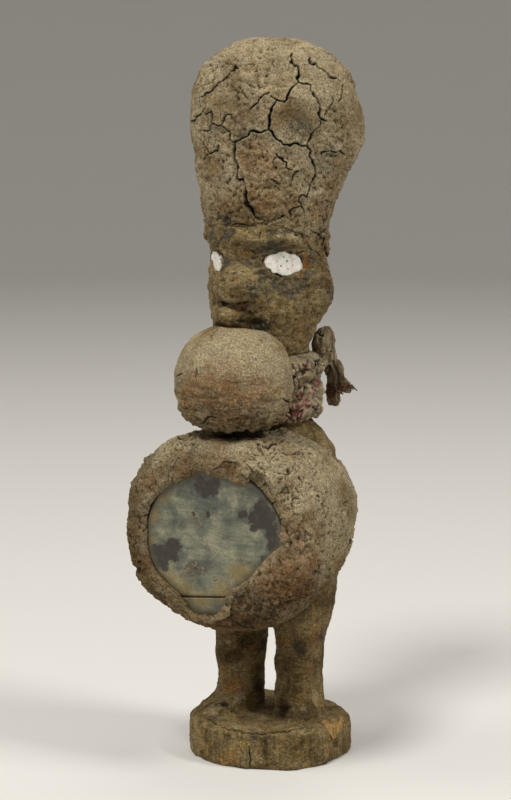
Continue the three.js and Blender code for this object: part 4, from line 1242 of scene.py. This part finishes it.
def eye_material():
    """White inlay, a little yellowed, with dark specks."""
    p = Paint("white_inlay", 0.38, 0.45)
    colour = p.ramp(p.noise(1.5, 4, 0.65), [(0.3, INLAY_YELLOWED), (0.48, INLAY), (0.7, INLAY_PALE)])
    fine = p.noise(0.5, 3, 0.65)
    colour = p.tinted(colour, fine, [(0.3, INLAY_FINE), (0.48, WHITE)], 0.6)
    colour = p.mix(colour, INLAY_SPECKS, p.between(p.strewn("specks", (0.5, 2.0)), 0.1, 0.7))
    colour = p.mix(colour, INLAY_EDGE, p.mark("edge"))
    return p.finish(colour, [(p.noise(0.9, 3), 0.12), (fine, 0.05)])


def build_eye(node, outline, material):
    s = Surface(node)
    p = s.points
    middle = p.mean(axis=0)
    out = middle - BODY_AXIS
    out[2] = 0
    out /= np.linalg.norm(out)
    across = np.array([-out[1], out[0], 0.0])
    flat = np.stack([(p - middle) @ across, p[:, 2] - middle[2]], axis=1)
    wanted = []
    start = camera_place()
    for x, y in outline:
        ray = pixel_ray(x, y)
        place = start + ray * ((middle - start) @ out / (ray @ out)) - middle
        wanted.append((place @ across, place[2]))
    wanted = np.array(wanted)
    shift = (wanted.max(axis=0) + wanted.min(axis=0)) / 2
    wanted -= shift
    turn = np.arctan2(flat[:, 1], flat[:, 0])
    share = np.hypot(*flat.T) / outline_reach(hull_turns(flat), turn)
    fitted = share * outline_reach(wanted, turn)
    p += ((fitted * np.cos(turn) + EYE_FOLLOWS * shift[0] - flat[:, 0])[:, None]) * across
    p[:, 2] += fitted * np.sin(turn) + EYE_FOLLOWS * shift[1] - flat[:, 1]
    s.write()
    side = 1 - smoothstep(0.3, 0.8, np.abs(s.normals @ out))
    worn = smoothstep(-0.3, 0.4, noise(s.points, 0.9, 401))
    s.marks["edge"] = np.maximum(side, 0.8 * smoothstep(0.86, 1.0, share)) * worn
    s.marks["specks"] = spot_field(s, s.tree(), EYE_SPECKS)
    chips = 0.12 * side * layered(s.points, 1.0, 2, 402)
    s.push(chips + 0.06 * (1 - side) * layered(s.points, 1.5, 2, 403))
    return s.done("eye_inlay", material)


def outline_reach(outline, turn):
    """How far an outline about (0, 0) reaches at a turn."""
    return all_round(np.arctan2(outline[:, 1], outline[:, 0]), np.hypot(*outline.T), turn)


def hull_turns(flat, parts=48):
    """The farthest point in each of the turns about (0, 0)."""
    turn = np.arctan2(flat[:, 1], flat[:, 0])
    which = ((turn + np.pi) / (2 * np.pi) * parts).astype(int) % parts
    reach = np.hypot(*flat.T)
    return np.array([flat[which == k][np.argmax(reach[which == k])] for k in range(parts)])


# The carved figure

# Cracks and grooves, darkened with painted shade; the groove under the nose wing paints its shadow line
FIGURE_CRACKS = [
    (0.35, 0.5, [(249, 746), (250, 756), (250, 765), (249, 771)]),
    (1.1, 0.6, [(214, 703), (218, 702), (223, 704), (227, 705), (229, 708)]),
    (1.6, 0.5, [(275, 706), (278, 708), (283, 709), (287, 708), (290, 706)]),
    (1.6, 1.3, [(226, 301), (236, 302), (245, 302), (254, 300), (261, 297)]),
    (0.7, 0.6, [(216, 310), (219, 308), (222, 307)]),
    (0.6, 0.8, [(205, 707), (208, 704), (212, 702)]),
    (0.45, 0.6, [
        (284, 249), (289, 250), (294, 253), (299, 252), (304, 252), (309, 255), (312, 260), (313, 267),
    ]),
    (0.4, 0.5, [(306, 243), (310, 248), (316, 252), (321, 257)]),
    (0.45, 0.7, [(213, 326), (217, 324), (223, 325), (230, 325)]),
    (0.3, 0.35, [(326, 266), (331, 276), (334, 284), (335, 291)]),
    (0.55, 0.5, [(202, 717), (208, 720), (216, 724), (222, 727)]),
    (0.5, 0.5, [
        (222, 729), (235, 731), (249, 734), (262, 735), (280, 733), (298, 730), (312, 728), (322, 727),
    ]),
]
NOSTRIL = (223, 304)
NOSE_WING = (247, 289)
WING_SHELF = (245, 301)  # the level underside of the wing of the nose
KNEE = (287, 661)
INNER_LEG = (262, 650)
# The face's forms: pixel, radii along X, Y and Z, and height
FACE_FORMS = [
    (224, 304, (2.8, 2.8, 1.5), -2.6), (218, 306, (1.6, 1.6, 1.0), -1.2),
    (230, 276, (3.4, 3.4, 4.8), 1.9), (215, 289, (3.0, 3.0, 2.8), 1.3), (226, 316, (4.0, 4.0, 2.4), 2.3),
    (252, 325, (7.0, 7.0, 3.4), -3.4), (246, 318, (2.5, 2.5, 1.6), -0.8),
    (290, 288, (6.0, 6.0, 2.6), -0.9), (288, 241, (9.0, 9.0, 1.7), 1.5),
    (238, 242, (5.0, 5.0, 1.8), 1.1), (258, 258, (4.0, 4.0, 3.0), -1.3),
    (266, 290, (3.2, 3.2, 4.0), -1.0), (283, 280, (7.0, 7.0, 1.6), -0.9),
    (283, 247, (8.0, 8.0, 1.2), -0.9), (307, 262, (1.8, 1.8, 2.4), -1.2),
    (327, 282, (1.2, 2.2, 4.6), -1.5), (332, 290, (2.2, 2.8, 2.2), -1.4),
    (326, 273, (2.0, 2.5, 3.0), 0.6), (326, 306, (2.0, 2.5, 3.0), 0.6),
    (310, 300, (4.0, 4.0, 3.0), -0.5), (278, 300, (5.0, 5.0, 2.0), -0.7),
    (285, 312, (7.0, 7.0, 4.0), 0.9), (222, 326, (5.0, 5.0, 0.8), -0.9),
]
# Patches: pixel, radius in pixels and strength
# Soot, and painted shadow under the nose and in the recess beside the mouth
FIGURE_SOOT_AND_SHADE = [
    (252, 326, 11, 0.95), (262, 328, 8, 0.9), (300, 300, 16, 0.3), (270, 292, 10, 0.5),
    (240, 262, 10, 0.4), (312, 262, 8, 0.6), (316, 250, 9, 0.5), (228, 262, 6, 0.6), (270, 262, 6, 0.6),
    (322, 285, 9, 0.45), (262, 250, 14, 0.6), (275, 246, 14, 0.8), (250, 262, 12, 0.5),
    (285, 284, 20, 0.65), (298, 284, 14, 0.65), (254, 288, 10, 0.75), (262, 276, 12, 0.6),
    (310, 275, 10, 0.6), (226, 248, 4, 0.9), (213, 240, 14, 0.7), (228, 234, 12, 0.65),
    (225, 262, 7, 0.7), (209, 280, 10, 0.6), (242, 322, 5, 0.8), (225, 305, 4, 0.95),
    (263, 241, 2.5, 0.9), (331, 296, 8, 0.6), (250, 240, 12, 0.35), (236, 303, 8, 0.85),
    (250, 303, 6, 0.6), (303, 648, 8, 0.6), (255, 735, 9, 0.5), (297, 715, 7, 0.4), (214, 720, 8, 0.5),
    (280, 262, 20, 0.5), (205, 262, 10, 0.5), (325, 270, 10, 0.4), (320, 300, 10, 0.35),
    (290, 240, 18, 0.4),
]
FIGURE_RESIN = [(306, 259, 5, 0.9), (307, 266, 5, 0.9), (301, 276, 4, 0.7)]
FIGURE_SHADE = [
    (236, 655, 13, 0.75), (245, 636, 18, 0.85), (262, 645, 10, 0.8), (258, 680, 9, 0.7),
    (290, 664, 8, 0.7), (278, 640, 8, 0.6), (262, 700, 9, 0.6), (282, 709, 8, 0.8), (222, 704, 6, 0.6),
    (265, 724, 18, 0.4), (250, 322, 10, 0.7), (238, 304, 7, 0.7), (305, 612, 14, 0.5),
    (215, 722, 10, 0.4), (300, 690, 8, 0.3), (292, 748, 14, 0.3),
]
FIGURE_OCHRE = [
    (252, 648, 6, 0.9), (309, 666, 8, 0.8), (232, 688, 12, 0.7), (300, 698, 9, 0.5), (318, 702, 9, 0.9),
    (283, 640, 8, 0.5), (318, 630, 8, 0.6), (230, 760, 16, 0.6), (203, 745, 9, 0.6), (245, 745, 12, 0.4),
    (300, 750, 14, 0.25), (225, 672, 8, 0.6), (290, 328, 12, 0.35), (300, 340, 12, 0.4),
    (228, 318, 7, 0.35), (275, 310, 8, 0.3),
]
FIGURE_DUST = [
    (240, 697, 13, 0.5), (222, 694, 9, 0.45), (256, 703, 8, 0.4), (285, 236, 9, 0.5), (300, 238, 9, 0.5),
    (312, 244, 6, 0.4), (268, 303, 10, 0.3), (255, 306, 8, 0.35), (300, 315, 16, 0.3),
    (237, 272, 12, 0.35), (222, 293, 9, 0.45), (316, 702, 9, 0.6), (306, 712, 7, 0.45),
    (213, 708, 8, 0.5), (280, 722, 20, 0.3), (325, 715, 14, 0.3), (225, 640, 6, 0.7), (227, 672, 8, 0.3),
    (283, 678, 5, 0.4), (222, 315, 6, 0.45), (310, 709, 6, 0.5), (262, 340, 6, 0.3),
]
FIGURE_RED = [
    (243, 253, 7, 0.4), (238, 308, 8, 0.4), (300, 325, 12, 0.4), (315, 640, 8, 0.4), (235, 687, 10, 0.6),
    (290, 640, 8, 0.3), (325, 288, 5, 0.5), (252, 648, 6, 0.4), (308, 668, 6, 0.45),
]
# Where the base is chipped to fresh wood
CHIPS = [
    (331, 727, 8), (338, 724, 7), (326, 722, 5), (334, 733, 6), (329, 738, 3.5), (341, 719, 4),
    (332, 745, 2.5),
]


def dent(points, middle, size, height):
    """A round dent or swelling about a point; size is one radius or one for each axis."""
    return height * bell(np.linalg.norm((points - middle) / size, axis=1))


def build_figure(material):
    s = Surface("carved_figure", hold=lambda p: 0.6 * (p[:, 2] < BASE_TOP + 0.5))
    height = s.points[:, 2]
    body = smoothstep(BASE_TOP + 2, BASE_TOP + 8, height) * smoothstep(JAW - 2, JAW - 12, height)
    s.points = relaxed(s.points, s.edges, 26, 0.5 * body)
    s.write()
    tree = s.tree()
    cracks = laid(tree, FIGURE_CRACKS, 511)
    carve_face(s, tree)
    tree = s.tree()
    near = near_lines(s.points, cracks, 1.2)
    nostril = spot(tree, *NOSTRIL)
    near |= np.linalg.norm(s.points - nostril, axis=1) < 4
    s.refine(near)
    p, n = s.points, s.normals
    head = smoothstep(JAW - 2, JAW + 2, p[:, 2])
    base = smoothstep(BASE_TOP + 1.5, BASE_TOP - 0.5, p[:, 2])
    side = smoothstep(0.7, 0.3, np.abs(n[:, 2]))
    cuts = scattered(p * np.array([1, 1, 0.55]), 6.5, 520)[0] / 6.5
    broad = -0.75 * (1 - head * 0.7) * (1 - 1.6 * cuts**2) * (1 - base) + 0.3
    broad += dent(p, spot(tree, *KNEE), np.array([6, 6, 2.2]), -1.1)
    broad += 0.3 * layered(p, 9, 2, 521) + 0.12 * head * layered(p, 3.5, 2, 528)
    fine = wood_relief(p, head, base, side)
    broad += dent(p, spot(tree, *INNER_LEG), np.array([4.5, 9, 13]), 1.0)
    cut, dark, stand = crack_all(p, cracks, 540)
    mark_figure(s, tree, head, base, side)
    chip = smoothstep(-0.1, 0.3, s.marks["fresh"]) * base
    in_cap = smoothstep(CAP_FOOT - 1, CAP_FOOT + 4, p[:, 2])
    s.marks["relief"] = s.hollows(fine - cut)
    # Painted shade in the cracks and in the nostril's pit
    pit = dent(p, nostril, np.array([2.6, 2.6, 1.25]), 1.0) + 0.2 * noise(p, 1.2, 557)
    s.marks["crack"] = np.maximum(0.8 * dark, smoothstep(0.42, 0.62, pit))
    s.push((broad + fine + stand - chip) * (1 - in_cap) - cut)
    s.points[:, 2] = np.maximum(s.points[:, 2], 0.0)
    return s.done("wood", material)


def wood_relief(p, head, base, side):
    """Grain and hewn faces on the base, strokes and crumbs of dirt on the head, and pits."""
    grain = layered(p * np.array([1, 1, 0.09]), 1.2, 2, 522)
    fine = 0.07 * side * (1 - head) * grain + 0.1 * layered(p, 1.5, 2, 523)
    strokes = layered(warped(p, 6, 2.0, 530) * np.array([0.35, 0.35, 1.1]), 1.6, 2, 529)
    fine += 0.3 * head * strokes + 0.24 * head * crumbly(p, 2.2, 532) + 0.12 * crumbly(p, 1.6, 534)
    fine += (0.1 + 0.14 * head) * flakes(p, 4.0, 536)
    hewn = layered(p * np.array([1, 1, 0.12]), 3.2, 3, 524)
    fine += 0.32 * base * side * hewn + 0.18 * base * (1 - side) * layered(p, 3.2, 2, 525)
    fine -= 0.5 * pores(p, 3.0, 0.6, 0.45, 0.22, 526) * (0.4 + 0.6 * base)
    fine -= 0.22 * (1 - head) * pores(p * np.array([1, 1, 0.3]), 2.4, 0.6, 0.6, 0.35, 527)
    fine -= 0.3 * head * pores(p, 2.2, 0.5, 0.4, 0.4, 531)
    return fine


def mark_figure(s, tree, head, base, side):
    """Soot with painted shadow under the nose and beside the mouth, ochre, dust, red, resin, chips, and
    painted shade on the legs, the base and in the face's recesses, mottled.
    """
    p = s.points
    paint_spots(s, tree, "soot_and_shade", FIGURE_SOOT_AND_SHADE, 1.8, 551)
    paint_spots(s, tree, "ochre", FIGURE_OCHRE, 1.8, 554)
    paint_spots(s, tree, "dust", FIGURE_DUST, 1.8, 552)
    paint_spots(s, tree, "red", FIGURE_RED, 1.8, 553)
    paint_spots(s, tree, "resin", FIGURE_RESIN, 0.8, 555)
    s.marks["fresh"] = spot_field(s, tree, CHIPS)
    legs = smoothstep(66, 52, p[:, 2]) * smoothstep(BASE_TOP + 9, BASE_TOP + 20, p[:, 2])
    mottled = 0.45 * layered(p, 9, 3, 556) * legs + 0.25 * head * layered(p, 5, 3, 559)
    s.marks["shade"] = np.clip(0.38 * legs + mottled, 0, 1)
    paint_spots(s, tree, "shade", FIGURE_SHADE, 1.8, 558)
    s.marks["grain"] = 0.25 + 0.6 * base * side + 0.15 * (1 - head)


def carve_face(s, tree):
    """Works the face's forms over."""
    rise = np.zeros(len(s.points))
    for x, y, radii, height in FACE_FORMS:
        rise += dent(s.points, spot(tree, x, y), np.array(radii), height)
    shelf = spot(tree, *WING_SHELF)[2]
    wing = dent(s.points, spot(tree, *NOSE_WING), np.array([6.8, 6.8, 4.6]), 4.2)
    rise += wing * smoothstep(shelf - 0.6, shelf + 0.3, s.points[:, 2])
    rise *= smoothstep(CAP_FOOT + 2, CAP_FOOT - 3, s.points[:, 2])
    s.push(rise)
    s.write()


# Cloth

CLOTH_BROWN = (0.10, 0.07, 0.042)
CLOTH_TAN = (0.20, 0.155, 0.092)
CLOTH_PALE = (0.38, 0.32, 0.2)
CLOTH_PURPLE = (0.1, 0.036, 0.034)
CLOTH_SHADE = (0.42, 0.33, 0.22)
FRAYED = (0.1, 0.04, 0.013)
CLOTH_RED = (0.24, 0.075, 0.05)
CLOTH_HOLLOW_SHADE = (0.035, 0.024, 0.016)
CLOTH_CREST_HIGHLIGHT = (0.46, 0.4, 0.27)
CLOTH_WEAVE = [(0.3, (0.5, 0.47, 0.44)), (0.52, WHITE), (0.7, (1.4, 1.38, 1.34))]
# Patches: pixel, radius in pixels and strength
CLOTH_STAINS = [
    (297, 386, 7, 1.0), (306, 366, 6, 0.8), (312, 388, 8, 0.9), (300, 394, 6, 0.8), (292, 380, 6, 0.8),
    (306, 403, 7, 0.8), (318, 380, 6, 0.7), (294, 368, 5, 0.6), (298, 406, 5, 0.6), (315, 372, 4, 0.5),
]
CLOTH_DUST = [
    (300, 353, 12, 0.9), (315, 357, 9, 0.8), (290, 358, 8, 0.6), (308, 374, 6, 0.8), (302, 383, 3, 0.8),
    (316, 400, 5, 0.8), (306, 409, 4, 0.7), (322, 392, 4, 0.5),
]
# Patches: pixel, radius in pixels and strength
STRIP_DUST = [(327, 342, 5, 0.7), (322, 330, 4, 0.4), (338, 354, 4, 0.4), (344, 368, 4, 0.4)]
TUFT_FIBRES = 34
FIBRE_SIDES = 4
FIBRE_STEPS = 4
STRIP_TIPS = [(346, 386), (341, 384), (334, 392), (331, 388)]


def cloth_material():
    """Old cotton stiff with dust and resin, stained red in places."""
    p = Paint("stained_cloth", 0.95, 0.15)
    colour = p.ramp(p.noise(3.4, 5, 0.66), [(0.36, CLOTH_BROWN), (0.48, CLOTH_TAN), (0.66, CLOTH_PALE)])
    colour = p.mix(colour, CLOTH_PALE, p.mark("dust"))
    stain = p.between(p.strewn("stain", (1.8, 1.3)), 0.3, 0.75)
    colour = p.mix(colour, p.ramp(p.noise(1.6, 3), [(0.35, CLOTH_PURPLE), (0.65, CLOTH_RED)]), stain)
    colour = p.mix(colour, CLOTH_SHADE, p.mark("shade"), "MULTIPLY")
    colour = p.mix(colour, FRAYED, p.mark("resin"))
    weave = p.noise(0.45, 3, 0.65)
    colour = p.tinted(colour, weave, CLOTH_WEAVE, 0.85)
    relief = p.mark("relief")
    # Painted shade in the hollows and painted highlights on the crests of the folds
    colour = p.over(colour, CLOTH_HOLLOW_SHADE, p.between(relief, -0.15, -0.75), 0.92)
    colour = p.over(colour, CLOTH_CREST_HIGHLIGHT, p.between(relief, 0.12, 0.55), 0.5)
    p.shader.inputs["Sheen Weight"].default_value = 0.12
    return p.finish(colour, [(weave, 0.16), (p.noise(1.1, 3), 0.3)])


def from_axis(points):
    """Each point's distance from the body's upright axis."""
    return np.hypot(points[:, 0] - BODY_AXIS[0], points[:, 1] - BODY_AXIS[1])


def build_cloth(material):
    s = Surface("neck_cloth")
    tree = s.tree()
    p = s.points
    turn = np.arctan2(p[:, 0] - BODY_AXIS[0], -(p[:, 1] - BODY_AXIS[1]))
    rise = p[:, 2] - NECK_FOOT
    outer = smoothstep(14.2, 15.5, from_axis(p))
    bent = warped(p, 9, 2.6, 606)
    climb = bent[:, 2] - NECK_FOOT + 3.0 * np.sin(turn - 0.4) + 1.2 * np.sin(3 * turn + 2)
    turns = 0.5 + 0.5 * np.cos(climb * 2 * np.pi / 7.0)
    crease = (1 - turns) ** 3 * smoothstep(-0.5, 0.2, noise(p, 8, 607))
    lumps = layered(bent * np.array([1, 1, 1.5]), 4.0, 3, 601)
    wrinkles = np.abs(layered(warped(p, 4, 1.5, 602), 3.0, 2, 603))
    fine = 0.8 * lumps - 1.5 * crease + 0.3 * turns + 0.9 * smoothstep(0.0, 0.22, wrinkles) - 0.7
    low = smoothstep(16, 8, rise)
    s.marks["stain"] = 0.62 * low * smoothstep(-0.3, 0.5, layered(p, 7, 2, 605))
    paint_spots(s, tree, "stain", CLOTH_STAINS, 1.4, 608)
    paint_spots(s, tree, "dust", CLOTH_DUST, 1.4, 609)
    s.marks["relief"] = 1.8 * s.hollows(fine, 14) * outer
    s.push(outer * (fine - 0.1))
    return s.done("cloth", material)


def build_strip(material):
    s = Surface("knotted_strip")
    tree = s.tree()
    p = s.points
    tails = smoothstep(132, 126, p[:, 2]) * smoothstep(17, 20.5, from_axis(p))
    fine = 0.32 * layered(p * np.array([1.2, 1.2, 0.5]), 1.8, 3, 611)
    fine -= 0.45 * np.abs(layered(p * np.array([1, 1, 0.4]), 2.4, 2, 612))
    s.marks["stain"] = 0.6 * smoothstep(126, 114, p[:, 2]) * smoothstep(-0.4, 0.4, noise(p, 4, 614))
    s.marks["shade"] = np.clip(0.42 + 0.3 * layered(p, 4, 2, 619), 0, 1)
    s.marks["resin"] = tails * smoothstep(118, 111, p[:, 2]) * smoothstep(-0.4, 0.3, noise(p, 2, 613))
    paint_spots(s, tree, "dust", STRIP_DUST, 1.0, 615)
    furrow = np.abs(layered(warped(p, 5, 1.2, 617) * np.array([1, 1, 0.12]), 3.0, 2, 618))
    fine += 0.9 * smoothstep(0.0, 0.25, furrow) - 0.75
    s.marks["relief"] = 1.8 * s.hollows(fine, 16)
    s.push(fine - tails * (0.35 + 0.3 * noise(p, 4, 616)))
    tips = [spot(tree, x, y) for x, y in STRIP_TIPS]
    s.write()
    for k, tip in enumerate(tips):
        add_tuft(s, tip, 900 + 40 * k)
    return s.done("cloth", material)


def add_tuft(s, tip, seed):
    """Frayed fibres that hang from a strip's tip, as thin tapered rods."""
    made = []
    for k in range(TUFT_FIBRES):
        r = hashed(np.array([[k, j, seed] for j in range(6)]), seed)
        way = np.array([1.5 * (r[0] - 0.5), 1.5 * (r[1] - 0.5), -0.55 - 0.5 * r[2]])
        bend = np.array([r[3] - 0.5, r[4] - 0.5, 0.3 * (r[0] - 0.5)]) * 2.2
        length = 0.9 + 1.9 * r[5]
        start = tip + np.array([2.4 * (r[1] - 0.5), 2.4 * (r[3] - 0.5) + 0.9, 1.6 * (r[0] - 0.5)])
        spine = [start + way * length * t + bend * t * t for t in np.linspace(0, 1, FIBRE_STEPS)]
        made.append(rod(spine, np.linspace(0.62, 0.3, FIBRE_STEPS)))
    add_parts(s, made, {"resin": 0.85, "stain": 0.3})


def rod(spine, radii):
    """Points and faces of a closed rod with its own radius at each step."""
    points, faces = [], []
    for middle, radius in zip(spine, radii):
        for k in range(FIBRE_SIDES):
            turn = 2 * math.pi * k / FIBRE_SIDES
            points.append(middle + radius * np.array([math.cos(turn), math.sin(turn), 0]))
    last = len(spine) - 1
    for row in range(last):
        for k in range(FIBRE_SIDES):
            a, b = row * FIBRE_SIDES + k, row * FIBRE_SIDES + (k + 1) % FIBRE_SIDES
            faces.append((a, a + FIBRE_SIDES, b + FIBRE_SIDES, b))
    faces.append(tuple(range(FIBRE_SIDES)))
    faces.append(tuple(last * FIBRE_SIDES + k for k in reversed(range(FIBRE_SIDES))))
    return points, faces


def add_parts(s, parts, marks):
    """Joins more closed bodies to a surface, with the same marks all over them."""
    work = bmesh.new()
    work.from_mesh(s.piece.data)
    before = len(work.verts)
    for points, faces in parts:
        corners = [work.verts.new(Vector(point * MM)) for point in points]
        for face in faces:
            work.faces.new([corners[k] for k in face])
    more = len(work.verts) - before
    work.to_mesh(s.piece.data)
    work.free()
    for name, values in s.marks.items():
        s.marks[name] = np.concatenate([values, np.full(more, marks.get(name, 0.0))])
    s.read()


# Scene

FLOOR_COLOUR = (0.66, 0.645, 0.62, 1)
FLOOR_REACH = 1.8  # in metres, to where the floor starts to curve up
WALL_HEIGHT = 1.4
FLOOR_SEGMENTS = 128
SKY_COLOUR = (0.82, 0.79, 0.74, 1)
SKY_STRENGTH = 0.28
LIGHT_COLOUR = (1.0, 0.98, 0.94)
LIGHT_AIM = Vector((0, 0, 0.12))  # in metres
# Turn from the camera's side and rise in degrees, distance and size in metres, and power in watts
LIGHTS = {
    "key": (-32, 58, 1.4, 0.4, 13.0),
    "right": (64, 46, 1.4, 0.4, 9.5),
    "left": (-88, 40, 1.5, 0.7, 4.5),
    "top": (165, 72, 1.5, 0.9, 4.0),
}


def area_light(name, turn, rise, distance, size, power):
    """A soft round light."""
    light = bpy.data.objects.new(name, bpy.data.lights.new(name, "AREA"))
    bpy.context.scene.collection.objects.link(light)
    light.data.shape = "DISK"
    light.data.size = size
    light.data.energy = power
    light.data.color = LIGHT_COLOUR
    angle = CAMERA_TURN + math.radians(turn)
    level = distance * math.cos(math.radians(rise))
    light.location = LIGHT_AIM + Vector(
        (level * math.sin(angle), -level * math.cos(angle), distance * math.sin(math.radians(rise)))
    )
    light.rotation_euler = (LIGHT_AIM - light.location).to_track_quat("-Z", "Y").to_euler()


def make_floor():
    """A round pale floor that curves up into a wall far off."""
    rows = [(FLOOR_REACH / 3, 0.0), (2 * FLOOR_REACH / 3, 0.0)]
    for t in np.linspace(0, math.pi / 2, 24):
        rows.append((FLOOR_REACH + WALL_HEIGHT * math.sin(t), WALL_HEIGHT - WALL_HEIGHT * math.cos(t)))
    corners, faces = [], []
    for reach, height in rows:
        for k in range(FLOOR_SEGMENTS):
            turn = 2 * math.pi * k / FLOOR_SEGMENTS
            corners.append((reach * math.cos(turn), reach * math.sin(turn), height))
    corners.append((0, 0, 0))
    for k in range(FLOOR_SEGMENTS):
        after = (k + 1) % FLOOR_SEGMENTS
        faces.append((len(corners) - 1, k, after))
        for row in range(len(rows) - 1):
            a, b = row * FLOOR_SEGMENTS + k, row * FLOOR_SEGMENTS + after
            faces.append((a, a + FLOOR_SEGMENTS, b + FLOOR_SEGMENTS, b))
    mesh = bpy.data.meshes.new("floor")
    mesh.from_pydata(corners, [], faces)
    mesh.shade_smooth()
    floor = bpy.data.objects.new("floor", mesh)
    bpy.context.scene.collection.objects.link(floor)
    paint = Paint("pale_floor", 0.95, 0.1)
    paint.shader.inputs["Base Color"].default_value = FLOOR_COLOUR
    mesh.materials.append(paint.material)


def make_light():
    """A dim sky and the studio's lights."""
    world = bpy.data.worlds.new("studio")
    world.use_nodes = True
    sky = world.node_tree.nodes["Background"].inputs
    sky["Color"].default_value = SKY_COLOUR
    sky["Strength"].default_value = SKY_STRENGTH
    bpy.context.scene.world = world
    for name, settings in LIGHTS.items():
        area_light(name, *settings)
    bpy.context.scene.view_settings.view_transform = "Standard"


# The scene is put together

make_camera()
make_floor()
make_light()

earth = earth_material()
build_cap(earth)
build_ball(earth)
build_drum(earth)
build_figure(wood_material())

glass = glass_material()
build_glass("belly_glass", glass)
build_glass("glass_shard", glass)

white = eye_material()
build_eye("left_eye", LEFT_EYE, white)
build_eye("right_eye", RIGHT_EYE, white)

cloth = cloth_material()
build_cloth(cloth)
build_strip(cloth)
